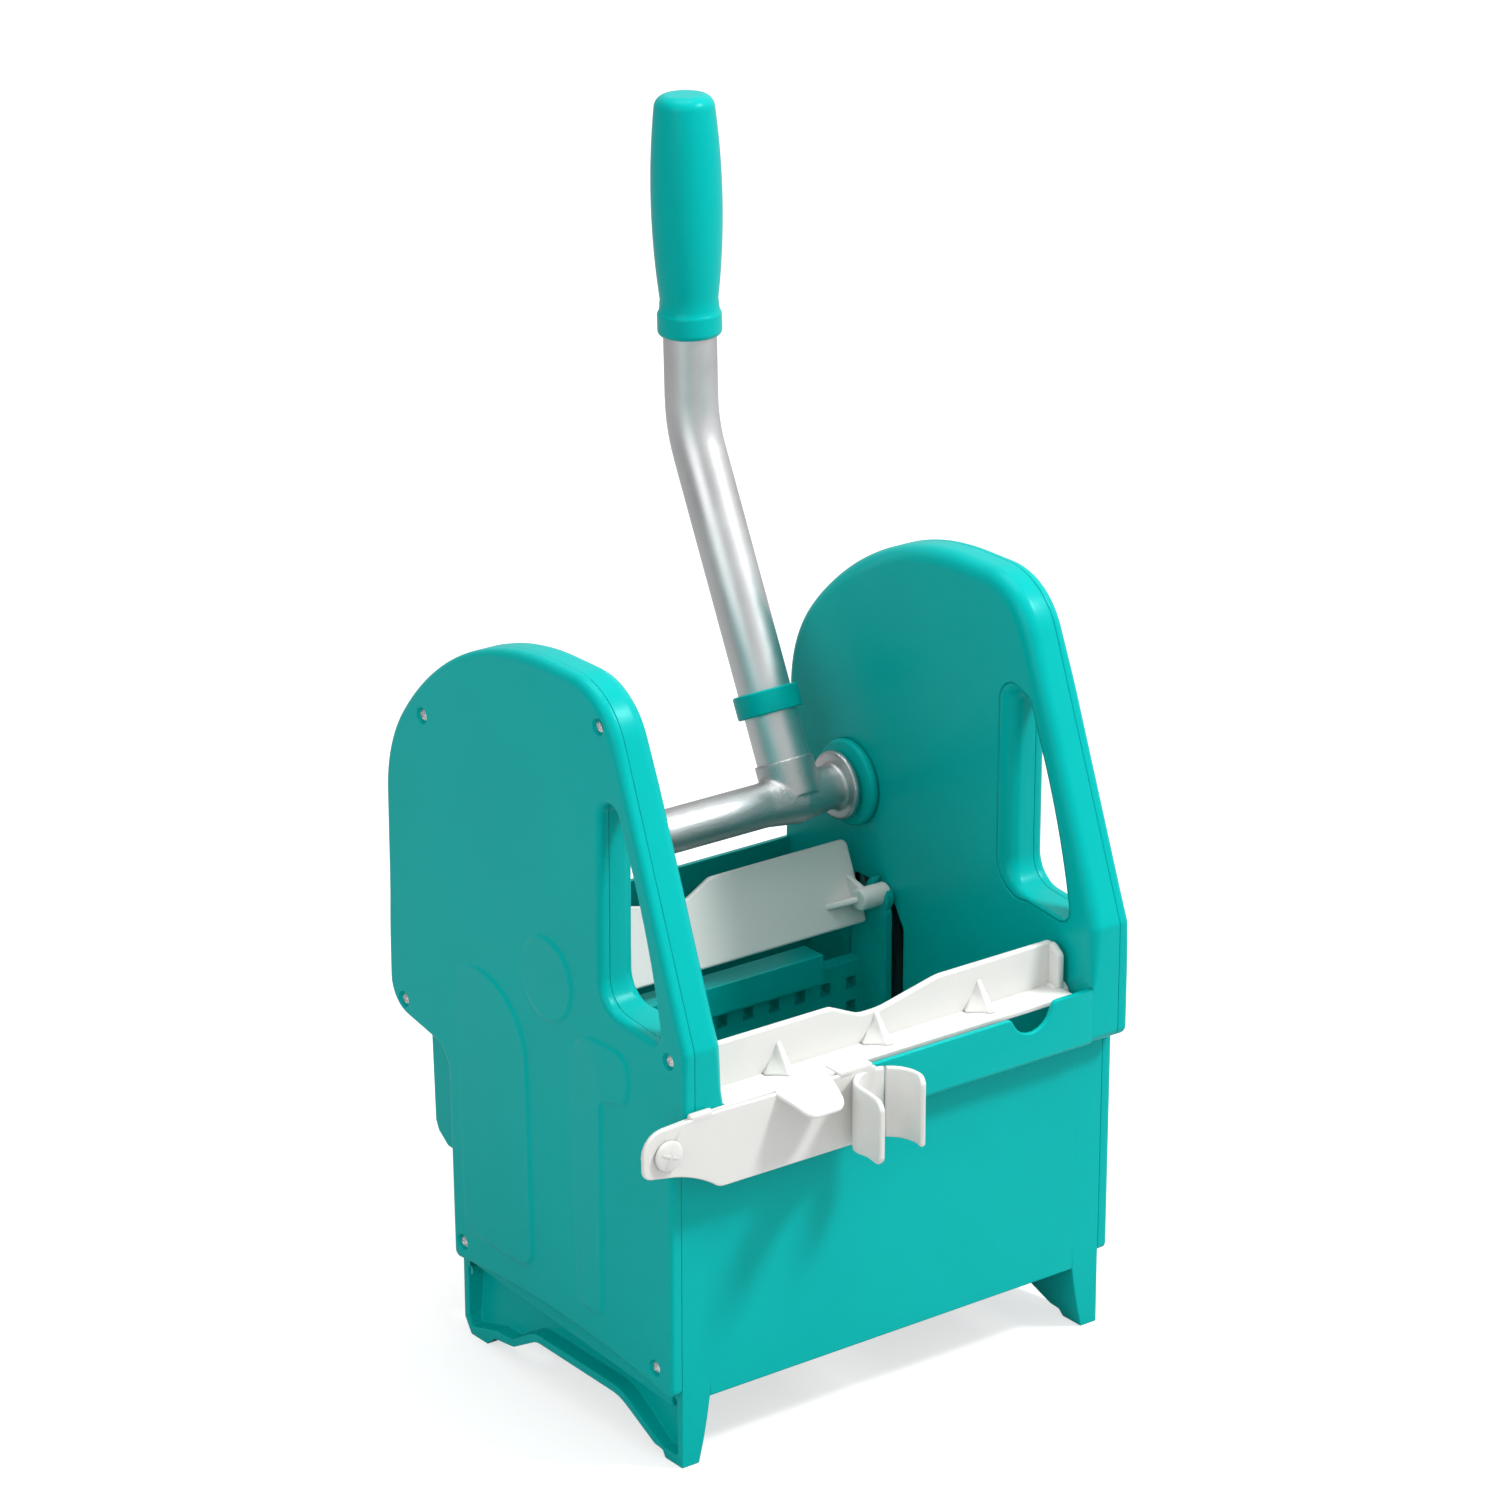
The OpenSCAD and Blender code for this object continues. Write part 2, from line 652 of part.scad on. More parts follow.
// Grip profile as circles [radius, height, corner radius]; its long side is one gentle arc
grip_outline = [
    [-grip_r + 5, 3, 3], [grip_r - 4.65, 3, 3], [grip_r - 4.65, 11, 3], [grip_r + 3, 21, -6],
    [grip_r - grip_bow, grip_belly, grip_bow], [grip_r - 9.7, grip_len - 7, 7], [9.7 - grip_r, grip_len - 7, 7]];
module lever_grip() {
    color(teal) placed() at_bend() translate([0, 0, grip_at])
        difference() {
            rotate_extrude()
                intersection() {
                    polygon(smooth(grip_outline));
                    square([2 * grip_r, grip_len]);
                }
            translate([0, 0, -past]) cylinder(h = grip_len - grip_cap + past, r = tube_r + fit);
        }
}

// Press drive inside the cheeks
crank_pin = cam(0);
module crank_half() {
    difference() {
        union() {
            across(x_crank, x_crank + crank_t)
                polygon(smooth([[shaft_y, shaft_z, hub_r], [crank_pin.x, crank_pin.y, crank_end_r]]));
            rod(x_crank, x_hub, [shaft_y, shaft_z], spring_r - spring_wire - clear);
            rod(x_arm - side_gap / 4, x_crank + past, crank_pin, crank_pin_r);
        }
        rod(x_crank - past, x_hub + past, [shaft_y, shaft_z], journal_r + fit);
    }
}
module crank_left() { color(steel) placed() side(-1) crank_half(); }
module crank_right() { color(steel) placed() side(1) crank_half(); }

module cam_roller_half() {
    difference() {
        rod(x_arm + 0.1, x_arm + arm_t, crank_pin, roller_r);
        rod(x_arm - past, x_arm + arm_t + past, crank_pin, crank_pin_r + fit);
    }
}
module cam_roller_left() { color(white_plastic) placed() side(-1) cam_roller_half(); }
module cam_roller_right() { color(white_plastic) placed() side(1) cam_roller_half(); }

module return_spring_half() {
    difference() {
        union() {
            rod(x_spring, x_hub - side_gap / 2, [shaft_y, shaft_z], spring_r);
            across(x_spring, x_spring + spring_wire)
                translate([shaft_y, shaft_z + spring_r - spring_wire])
                    square([spring_post.x - shaft_y + post_r, spring_wire]);
        }
        rod(x_spring - past, x_hub + past, [shaft_y, shaft_z], spring_r - spring_wire);
    }
}
module return_spring_left() { color(steel) placed() side(-1) return_spring_half(); }
module return_spring_right() { color(steel) placed() side(1) return_spring_half(); }

// Perforated press plate with side flanges that carry the rear jaw
wing_outline = [
    [wing_y + 4, plate_low + 4, 4], [plate_y + plate_t - 4, plate_low + 4, 4],
    [plate_y + plate_t - 6, rear_axle_z - 10, 6], [wing_y + 4, rear_axle_z - 9, 4]];
ear_wall = 3.4;
arm_screw_r = 2.4;
arm_screw_head_r = 1.5 * arm_screw_r;
arm_screw_y = [wing_y + 6.5, plate_y - arm_screw_head_r - 1];
arm_screw_head = 1.6;
module press_plate() {
    columns = floor((x_wing - plate_t - 2 - hole_w / 2) / hole_px);
    color(teal) placed() difference() {
        union() {
            translate([-x_wing, plate_y, plate_low]) cube([2 * x_wing, plate_t, plate_high - plate_low]);
            translate([-hump_x, hump_y, plate_high - plate_t])
                cube([2 * hump_x, plate_y - hump_y + plate_t, hump_z - plate_high + plate_t]);
            for (s = [-1, 1]) side(s) across(x_wing - plate_t, x_wing) {
                polygon(smooth(wing_outline));
                translate([rear_axle_y, rear_axle_z]) circle(r = rear_axle_r + fit + ear_wall);
            }
        }
        for (x = [-columns : columns]) for (row = [0 : hole_rows - 1])
            translate([x * hole_px - hole_w / 2, plate_y - past, hole_top - row * hole_pz - hole_w / 2])
                cube([hole_w, plate_t + 2 * past, hole_w]);
        for (s = [-1, 1]) side(s) {
            rod(x_wing - plate_t - past, x_wing + past, [rear_axle_y, rear_axle_z], rear_axle_r + fit);
            across(x_wing - plate_t - past, x_wing + past)
                translate([rear_axle_y, rear_axle_z]) rotate(115)
                    translate([0, -rear_axle_r * 0.9]) square([3 * rear_axle_r, rear_axle_r * 1.8]);
            for (y = arm_screw_y)
                rod(x_wing - plate_t - past, x_wing + past, [y, guide_z], arm_screw_r + fit);
        }
    }
}

module push_arm_half() {
    difference() {
        union() {
            across(x_arm, x_arm + arm_t) {
                polygon(cam_strip(roller_path + arm_strip));
                translate([lug_y + 2, guide_z - lug_h / 2])
                    square([lug_len - 4, crank_pin.y - guide_z + lug_h / 2]);
            }
            translate([x_wing, lug_y, guide_z - lug_h / 2]) cube([x_arm + 1 - x_wing, lug_len, lug_h]);
        }
        across(x_arm - past, x_arm + arm_t + past) polygon(cam_strip(roller_path));
        for (y = arm_screw_y)
            rod(x_wing - past, x_arm + arm_t + past, [y, guide_z], arm_screw_r + fit);
    }
}
module push_arm_left() { color(steel) placed() side(-1) push_arm_half(); }
module push_arm_right() { color(steel) placed() side(1) push_arm_half(); }

module guide_shoe_half() {
    x0 = x_in - wing_gap / 2;
    x1 = x_arm - side_gap / 4;
    h = guide_h - 2 * clear;
    difference() {
        translate([x0, lug_y - shoe_wall, guide_z - h / 2]) cube([x1 - x0, lug_len + 2 * shoe_wall, h]);
        translate([x0 - past, lug_y - fit, guide_z - lug_h / 2 - fit])
            cube([x1 - x0 + 2 * past, lug_len + 2 * fit, lug_h + 2 * fit]);
    }
}
module guide_shoe_left() { color(white_plastic) placed() side(-1) guide_shoe_half(); }
module guide_shoe_right() { color(white_plastic) placed() side(1) guide_shoe_half(); }

module arm_screws() {
    color(steel) placed()
        for (s = [-1, 1]) side(s)
            for (y = arm_screw_y) {
                rod(x_wing - plate_t - arm_screw_head, x_wing - plate_t, [y, guide_z], arm_screw_head_r);
                rod(x_wing - plate_t - past / 2, x_arm + arm_t - past, [y, guide_z], arm_screw_r);
            }
}

// Upper edge of a jaw: straight with a dip that is steep at its left and rises slowly to the right
steep_crest_r = 8;
steep_dip_r = 16;
slow_crest_r = 30;
slow_dip_r = 40;
function jaw_outline(w, h, shift = 0) = [
    [-w + 2, 2, 2], [w - 2, 2, 2], [w - 4, h - 4, 4],
    [dip_x + 13 + shift, h - slow_crest_r, slow_crest_r],
    [-4 + shift, h - dip + slow_dip_r, -slow_dip_r], [-dip_x / 3 + shift, h - dip + steep_dip_r, -steep_dip_r],
    [-dip_x - 5 + shift, h - steep_crest_r, steep_crest_r], [4 - w, h - 4, 4]];
rear_dip_shift = 12;
// Places in the leaning plate's own frame, which starts at its lower front edge
module on_rear_jaw() {
    translate([0, rear_axle_y + 5, rear_axle_z - 16]) rotate([-jaw_lean, 0, 0]) children();
}
module rear_jaw() {
    color(white_plastic) placed() {
        on_rear_jaw() along(0, jaw_t) mirror([1, 0, 0])
            polygon(smooth(jaw_outline(rear_jaw_x, rear_jaw_h, rear_dip_shift)));
        for (s = [-1, 1]) side(s) {
            rod(rear_jaw_x - 9, x_in - side_gap, [rear_axle_y, rear_axle_z], rear_axle_r);
            on_rear_jaw() across(rear_jaw_x - 9, rear_jaw_x - 5)
                polygon([[1, 5], [1, 30], [-6, 24], [-12, 19], [-12, 13]]);
        }
    }
}

rib_places = [-66, 0, 62];
module front_jaw() {
    jaw_x = x_in - 3.4;
    top = front_jaw_high - front_jaw_low;
    color(white_plastic) placed() {
        translate([0, 0, front_jaw_low]) along(front_jaw_y - jaw_t, front_jaw_y)
            polygon(smooth(jaw_outline(jaw_x, top)));
        translate([2 - jaw_x, ledge_y, ledge_z - 3]) cube([2 * jaw_x - 4, front_jaw_y - ledge_y - past, 3]);
        for (x = concat(rib_places, [3 - jaw_x, jaw_x - 3]))
            across(x - 1.5, x + 1.5)
                polygon([[ledge_y + 1, ledge_z - past], [front_jaw_y - past, ledge_z - past],
                    [front_jaw_y - past, front_jaw_high - dip - 3], [front_jaw_y - jaw_t - 1, front_jaw_high - dip - 3]]);
        for (s = [-1, 1]) side(s)
            rod(jaw_x - 6, x_cavity - side_gap, [front_pin_y, front_pin_z], front_pin_r);
    }
}

// Handle holder: rail over the band, arm with tab and clip, and the snap pin
rail_x0 = clear - x_in;
rail_x1 = -50;
tongue_x = -27;
neck_x = -121;
bar_x1 = -40;
bar_step = 12;
tab_x = -68;
tab_z = 149.3;
tab_lean = 20;
hook_y = ledge_y - 4 * clear;
tongue_y = hook_y;
module holder_rail() {
    color(white_plastic) placed() difference() {
        union() {
            along(web_y - web_t, web_y)
                polygon(smooth([[-arm_end_x, pin_z, arm_end_r - 1.5], [rail_x1 - 3, bar_low + 12, 3],
                    [rail_x1 - 2, bar_high - 2, 2], [neck_x, bar_high - 2, 2]]));
            translate([rail_x0, web_y - web_t, band_top + clear])
                cube([rail_x1 - rail_x0, hook_y - web_y + web_t, bar_high - band_top - clear]);
            translate([rail_x0, wall - overhang + clear, band_top - 6])
                cube([rail_x1 - rail_x0, hook_y - wall + overhang - clear, bar_high - band_top + 6]);
        }
        translate([-arm_end_x, web_y + past, pin_z]) rotate([90, 0, 0])
            cylinder(h = web_t + 2 * past, r = snap_r + fit);
    }
}
module holder_arm() {
    color(white_plastic) placed() difference() {
        union() {
            along(bar_y - bar_t, bar_y)
                polygon(smooth([[-arm_end_x, pin_z, arm_end_r], [neck_x + 6, bar_low + 6, 6],
                    [bar_x1, bar_low + 2, 2], [bar_x1 + bar_step, bar_high - 4, 2], [neck_x, bar_high - 2, 2]]));
            // Tongue over the band
            translate([rail_x1 + 3 * clear, bar_y - bar_t, band_top + clear])
                cube([tongue_x - rail_x1 - 3 * clear, tongue_y - bar_y + bar_t, bar_high - band_top - clear]);
            // Finger tab
            translate([tab_x, bar_y - past, tab_z]) rotate([tab_lean, 0, 0]) linear_extrude(3)
                polygon(smooth([[-13, -2, 3], [-5, -18, 4], [5, -18, 4], [13, -2, 3]]));
            // Clip
            translate([-clip_x, clip_y, bar_low]) linear_extrude(clip_high - bar_low)
                difference() {
                    circle(r = clip_r + clip_wall);
                    circle(r = clip_r);
                    polygon([[0, 0], ray(40, -28), [0, -40], [-18.5, -40], [-clip_r - clip_wall - 1, 0]]);
                    translate([-2 * clip_r, bar_y - clip_y]) square([4 * clip_r, clip_r]);
                }
            translate([-clip_x - clip_r - clip_wall, clip_y, bar_low]) linear_extrude(clip_high - bar_low)
                polygon([[0, 1], [0, -12], [-3, -20], [-0.5, -20], [2.5, -12], [3, 1]]);
        }
        translate([-arm_end_x, bar_y + past, pin_z]) rotate([90, 0, 0])
            cylinder(h = bar_t + 2 * past, r = snap_r + fit);
    }
}
module holder_pin() {
    color(white_plastic) placed() difference() {
        translate([-arm_end_x, web_y, pin_z]) rotate([90, 0, 0]) {
            cylinder(h = web_t + clear + bar_t + clear + past, r = snap_r);
            translate([0, 0, web_t + clear + bar_t + clear]) cylinder(h = 3, r1 = snap_head_r, r2 = 0.75 * snap_head_r);
        }
        translate([-arm_end_x - 0.8, bar_y - bar_t - clear - 3 - past, pin_z - snap_head_r])
            cube([1.6, 3 + past, 2 * snap_head_r]);
    }
}

cover_left();
cover_right();
cheek_left();
cheek_right();
front_panel();
rear_panel();
drain_floor();
cover_screws();
bushing_left();
bushing_right();
pivot_shaft();
lever_tube();
lever_collar();
lever_grip();
crank_left();
crank_right();
cam_roller_left();
cam_roller_right();
return_spring_left();
return_spring_right();
press_plate();
push_arm_left();
push_arm_right();
guide_shoe_left();
guide_shoe_right();
arm_screws();
rear_jaw();
front_jaw();
holder_rail();
holder_arm();
holder_pin();
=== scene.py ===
import math

import bmesh
import bpy
from mathutils import Matrix, Vector


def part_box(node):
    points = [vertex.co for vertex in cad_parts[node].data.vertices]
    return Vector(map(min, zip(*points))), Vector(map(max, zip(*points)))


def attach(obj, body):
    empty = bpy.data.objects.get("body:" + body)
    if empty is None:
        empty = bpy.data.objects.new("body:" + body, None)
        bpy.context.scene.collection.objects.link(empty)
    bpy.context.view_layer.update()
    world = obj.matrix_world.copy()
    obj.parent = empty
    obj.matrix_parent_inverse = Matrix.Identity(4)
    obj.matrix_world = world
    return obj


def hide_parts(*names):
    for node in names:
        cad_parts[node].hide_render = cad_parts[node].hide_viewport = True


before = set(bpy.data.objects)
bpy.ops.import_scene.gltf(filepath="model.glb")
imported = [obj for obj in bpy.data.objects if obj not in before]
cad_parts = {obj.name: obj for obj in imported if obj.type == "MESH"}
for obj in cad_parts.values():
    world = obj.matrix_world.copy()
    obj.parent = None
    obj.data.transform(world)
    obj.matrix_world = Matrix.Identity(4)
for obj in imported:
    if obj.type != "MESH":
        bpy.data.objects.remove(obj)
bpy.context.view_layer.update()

# Sizes of the wringer in millimetres, measured from its middle (x), from its lower front wall (y) and from
# the covers' lower edge (z)
MM = 0.001
OVERHANG = 11.3  # of the band, over the lower front wall
FOOT_H = 40.6
INNER_X = 115.4
SEAM_X = 132.5
OUTER_X = 139.9
WALL = 3.0
REAR_Y = 240.8
LOW_REAR_Y = 189.2
SHAFT = (184.6, 205.2)
FRONT_PIN = (11.7, 145.3)
LEVER_X = 76.7
LEAN_LOW = math.radians(25.67)  # of the lever tube, below and above its bend
LEAN_HIGH = math.radians(1.95)
LOW_LEN = 200.6  # from the shaft to the bend
GRIP_AT = 48.0  # above the bend
GRIP_LEN = 126.5

# The photograph's camera: place in metres in the frame, turn and lens
CAMERA_PLACE = (-1.54648, -2.06041, 1.29548)
CAMERA_TILT = 69.102
CAMERA_TURN = -37.142
CAMERA_LENS = 133.07

panel_low, panel_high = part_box("front_panel")
DATUM = Vector(((panel_low[0] + panel_high[0]) / 2, panel_low[1] + OVERHANG * MM, FOOT_H * MM))


def place(x, y, z):
    """A point given in the wringer's millimetres, in the frame's metres."""
    return DATUM + Vector((x, y, z)) * MM


# Node trees of shaders and of repeats

def feed(tree, node, inputs):
    """Gives a node's inputs their values, or links them to other nodes' outputs."""
    for key, value in inputs.items():
        if isinstance(value, bpy.types.NodeSocket):
            tree.links.new(value, node.inputs[key])
        else:
            node.inputs[key].default_value = value


def add_node(tree, kind, inputs=None, **settings):
    """A new node with its settings and inputs."""
    node = tree.nodes.new(kind)
    for name, value in settings.items():
        setattr(node, name, value)
    feed(tree, node, inputs or {})
    return node


def add_socket(group, name, direction, kind, value=None):
    socket = group.interface.new_socket(name=name, in_out=direction, socket_type=kind)
    if value is not None:
        socket.default_value = value
    return socket


def noise(tree, vector, scale, detail, roughness=0.5):
    """A Noise Texture of a given scale (per metre); returns its value socket."""
    inputs = {"Vector": vector, "Scale": scale, "Detail": detail, "Roughness": roughness}
    return add_node(tree, "ShaderNodeTexNoise", inputs).outputs["Fac"]


def remap(tree, value, low, high, to_low, to_high):
    """A Map Range from one span to another; the limits may be numbers or sockets."""
    inputs = {"Value": value, "From Min": low, "From Max": high, "To Min": to_low, "To Max": to_high}
    return add_node(tree, "ShaderNodeMapRange", inputs).outputs["Result"]


def arithmetic(tree, operation, a, b):
    return add_node(tree, "ShaderNodeMath", {0: a, 1: b}, operation=operation).outputs["Value"]


def object_position(tree):
    return add_node(tree, "ShaderNodeTexCoord").outputs["Object"]


def new_material(name):
    """A material with a Principled shader; returns the material, its node tree and the shader."""
    material = bpy.data.materials.new(name)
    material.use_nodes = True
    return material, material.node_tree, material.node_tree.nodes["Principled BSDF"]


# Skins: shader groups that several materials share

def skin_group(name, inputs):
    """An open skin group; returns the group, its inputs' sockets and the place on the object."""
    group = bpy.data.node_groups.new(name, "ShaderNodeTree")
    for socket, value in inputs.items():
        kind = "NodeSocketColor" if isinstance(value, tuple) else "NodeSocketFloat"
        add_socket(group, socket, "INPUT", kind, value)
    add_socket(group, "Colour", "OUTPUT", "NodeSocketColor")
    add_socket(group, "Roughness", "OUTPUT", "NodeSocketFloat")
    add_socket(group, "Height", "OUTPUT", "NodeSocketFloat")
    return group, add_node(group, "NodeGroupInput").outputs, object_position(group)


def close_skin(group, given, brightness, roughness, height):
    """Links a skin's results to its outputs; its colour is the given one at another brightness."""
    shade = add_node(group, "ShaderNodeHueSaturation", {"Value": brightness, "Color": given["Colour"]})
    add_node(group, "NodeGroupOutput",
             {"Colour": shade.outputs["Color"], "Roughness": roughness, "Height": height})
    return group


def moulded_skin_group():
    """Mould grain, slow colour drift and handling marks of a moulded plastic skin."""
    group, given, position = skin_group("moulded_skin", {
        "Colour": (0.0, 0.4, 0.37, 1), "Drift": 0.05, "Gloss spread": 0.08, "Roughness": 0.4,
        "Grain scale": 1800.0})
    flow = noise(group, position, 9.0, 3.0, 0.6)
    low = arithmetic(group, "SUBTRACT", 1.0, given["Drift"])
    high = arithmetic(group, "ADD", 1.0, given["Drift"])
    brightness = remap(group, flow, 0.3, 0.7, low, high)

    # Handling leaves soft patches that are a little duller
    smear = noise(group, position, 38.0, 6.0, 0.65)
    duller = remap(group, smear, 0.35, 0.7, 0.0, given["Gloss spread"])
    roughness = arithmetic(group, "ADD", given["Roughness"], duller)

    # Fine mould grain over a slow sink of the surface
    grain = noise(group, position, given["Grain scale"], 2.0)
    sink = noise(group, position, 26.0, 1.0, 0.4)
    height = arithmetic(group, "ADD", grain, arithmetic(group, "MULTIPLY", sink, 4.0))
    return close_skin(group, given, brightness, roughness, height)


def metal_skin_group():
    """Fine scratches drawn along one axis, pitting and a slow drift of the gloss of bare metal."""
    group, given, position = skin_group("metal_skin", {
        "Colour": (0.7, 0.7, 0.71, 1), "Roughness": 0.35, "Scratch": 0.5, "Pitting": 0.2, "Pit scale": 900.0})

    # The drawn tube leans back with the lever, so its scratches are turned with it
    drawn_out = add_node(group, "ShaderNodeMapping", {
        "Vector": position, "Rotation": (LEAN_LOW, 0, 0), "Scale": (1.0, 1.0, 0.02)})
    lines = noise(group, drawn_out.outputs["Vector"], 2600.0, 4.0, 0.7)
    pits = noise(group, position, given["Pit scale"], 5.0, 0.7)
    scratched = arithmetic(group, "MULTIPLY", lines, given["Scratch"])
    pitted = arithmetic(group, "MULTIPLY", pits, given["Pitting"])
    height = arithmetic(group, "ADD", scratched, pitted)

    drift = noise(group, position, 22.0, 5.0, 0.6)
    brightness = remap(group, drift, 0.3, 0.7, 0.9, 1.06)
    duller = remap(group, drift, 0.3, 0.7, -0.05, 0.08)
    roughness = arithmetic(group, "ADD", given["Roughness"], duller)
    return close_skin(group, given, brightness, roughness, height)


MOULDED_SKIN = moulded_skin_group()
METAL_SKIN = metal_skin_group()


def skinned(name, group, values, strength, distance, shader_values):
    """A material whose colour, roughness and bump come from a skin group with its own values."""
    material, tree, shader = new_material(name)
    skin = add_node(tree, "ShaderNodeGroup", values, node_tree=group).outputs
    bump = add_node(tree, "ShaderNodeBump",
                    {"Strength": strength, "Distance": distance, "Height": skin["Height"]})
    feed(tree, shader, {"Base Color": skin["Colour"], "Roughness": skin["Roughness"],
                        "Normal": bump.outputs["Normal"], **shader_values})
    return material


def moulded_plastic(name, colour, drift, gloss_spread, roughness, grain_scale, strength, shader_values):
    values = {"Colour": (*colour, 1), "Drift": drift, "Gloss spread": gloss_spread, "Roughness": roughness,
              "Grain scale": grain_scale}
    return skinned(name, MOULDED_SKIN, values, strength, 0.0002, shader_values)


def bare_metal(name, colour, roughness, scratch, pitting, pit_scale, strength, distance=0.0002):
    values = {"Colour": (*colour, 1), "Roughness": roughness, "Scratch": scratch, "Pitting": pitting,
              "Pit scale": pit_scale}
    return skinned(name, METAL_SKIN, values, strength, distance, {"Metallic": 1.0})


TEAL = moulded_plastic(
    "teal_polypropylene", (0.0, 0.43, 0.405), drift=0.03, gloss_spread=0.06, roughness=0.28,
    grain_scale=2200.0, strength=0.12,
    shader_values={"IOR": 1.49, "Specular IOR Level": 0.15, "Specular Tint": (0.4, 0.95, 0.95, 1)})
WHITE = moulded_plastic(
    "white_acetal", (0.75, 0.745, 0.722), drift=0.015, gloss_spread=0.1, roughness=0.34,
    grain_scale=1500.0, strength=0.15,
    shader_values={"IOR": 1.48, "Subsurface Weight": 0.12, "Subsurface Scale": 0.004,
                   "Subsurface Radius": (1.0, 0.9, 0.8)})
TUBE = bare_metal("drawn_aluminium", (0.68, 0.685, 0.69), roughness=0.42, scratch=0.6, pitting=0.4,
                  pit_scale=1300.0, strength=0.14)
CAST = bare_metal("cast_aluminium", (0.58, 0.585, 0.59), roughness=0.38, scratch=0.0, pitting=1.0,
                  pit_scale=620.0, strength=0.5, distance=0.0006)
DRIVE = bare_metal("zinc_plated_steel", (0.5, 0.51, 0.52), roughness=0.38, scratch=0.3, pitting=0.4,
                   pit_scale=1100.0, strength=0.2)
SCREW = bare_metal("bright_screw_steel", (0.88, 0.885, 0.89), roughness=0.26, scratch=0.1, pitting=0.3,
                   pit_scale=1700.0, strength=0.1, distance=0.0001)


# Outlines made of circles, as in the drawing of the part

STRETCH = 12.0  # longest straight step along an outline
NO_TURN = 5.5  # a turn in radians beyond this is a whole one too many


def on_circle(u, v, r, angle):
    return u + r * math.cos(angle), v + r * math.sin(angle)


def tangent(p, q):
    """Angle of the outer normal of the line that touches two circles."""
    across = math.hypot(q[0] - p[0], q[1] - p[1])
    return math.atan2(q[1] - p[1], q[0] - p[0]) - math.acos(max(-1.0, min(1.0, (p[2] - q[2]) / across)))


def smooth_outline(circles, step_angle=7.5, step_length=4.0):
    """Points and outer normals round an outline; a circle with a negative radius is a hollow."""
    points = []
    count = len(circles)
    for i, (cy, cz, r) in enumerate(circles):
        start = tangent(circles[i - 1], circles[i])
        turn = (tangent(circles[i], circles[(i + 1) % count]) - start) % math.tau
        if r < 0:
            turn -= math.tau
        if abs(turn) > NO_TURN:
            turn = 0.0
        steps = max(1, math.ceil(abs(math.degrees(turn)) / step_angle),
                    math.ceil(abs(turn * r) / step_length))
        for j in range(steps + 1):
            a = start + turn * j / steps
            points.append((*on_circle(cy, cz, r, a), math.cos(a), math.sin(a)))
    # Long straight stretches get points between, so that a rounding can change along them
    filled = []
    for i, p in enumerate(points):
        q = points[(i + 1) % len(points)]
        parts = max(1, math.ceil(math.hypot(q[0] - p[0], q[1] - p[1]) / STRETCH))
        for j in range(parts):
            t = j / parts
            filled.append(tuple(a + (b - a) * t for a, b in zip(p, q)))
    return filled


def drawn_in(points, inset):
    """An outline drawn in by a number or by a function of the place along it."""
    result = []
    for y, z, ny, nz in points:
        d = inset(y, z) if callable(inset) else inset
        result.append((y - d * ny, z - d * nz))
    return result


def full_turn(count):
    """Evenly spaced angles round a circle."""
    return [math.tau * i / count for i in range(count)]


def circle_outline(cy, cz, r, count):
    return [(*on_circle(cy, cz, r, a), math.cos(a), math.sin(a)) for a in full_turn(count)]


# Mesh helpers; meshes are drawn in the wringer's millimetres

def ring(bm, points, x):
    """A closed ring of vertices at one x, or at an x for each point."""
    xs = x if isinstance(x, list) else [x] * len(points)
    return [bm.verts.new((xi, p[0], p[1])) for xi, p in zip(xs, points)]


def bridge(bm, a, b):
    """A wall of four-sided faces between two rings of as many points."""
    for i in range(len(a)):
        j = (i + 1) % len(a)
        bm.faces.new((a[i], a[j], b[j], b[i]))


def chain(bm, rings):
    for a, b in zip(rings, rings[1:]):
        bridge(bm, a, b)


def capped(bm, rings):
    """A closed bar: walls between the rings and a face at both ends."""
    chain(bm, rings)
    bm.faces.new(rings[0])
    bm.faces.new(rings[-1])


def fill_between(bm, outer, holes):
    """A flat face inside an outer ring, with holes left open."""
    edges = []
    for loop in [outer] + holes:
        for i in range(len(loop)):
            pair = (loop[i], loop[(i + 1) % len(loop)])
            edges.append(bm.edges.get(pair) or bm.edges.new(pair))
    bmesh.ops.triangle_fill(bm, use_beauty=True, use_dissolve=False, edges=edges)


def mesh_of(bm, name):
    """The bmesh as a smooth mesh; the bmesh is freed."""
    for face in bm.faces:
        face.smooth = True
    mesh = bpy.data.meshes.new(name)
    bm.to_mesh(mesh)
    bm.free()
    return mesh


def add_object(name, data):
    item = bpy.data.objects.new(name, data)
    bpy.context.scene.collection.objects.link(item)
    return item


def even_shading(piece):
    shading = piece.modifiers.new("even_shading", "WEIGHTED_NORMAL")
    shading.keep_sharp = True


def finish_mesh(bm, name, material, body, node, mirror=False):
    """Moves a drawn piece into the frame, with its faces outwards, and finishes it."""
    bmesh.ops.remove_doubles(bm, verts=bm.verts, dist=0.0005)
    if mirror:
        bmesh.ops.scale(bm, vec=(-1, 1, 1), verts=bm.verts)
    bmesh.ops.recalc_face_normals(bm, faces=bm.faces)
    for vert in bm.verts:
        vert.co = DATUM + vert.co * MM
    even_shading(finish_piece(mesh_of(bm, name), name, material, body, node))


def finish_piece(mesh, name, material, body, node):
    """An object of a mesh that is already in the frame; it stands for one CAD node."""
    mesh.materials.clear()
    mesh.materials.append(material)
    piece = add_object(name, mesh)
    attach(piece, body)
    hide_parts(node)
    return piece


# Outlines seen along x, as circles [y, z, radius] in counterclockwise order

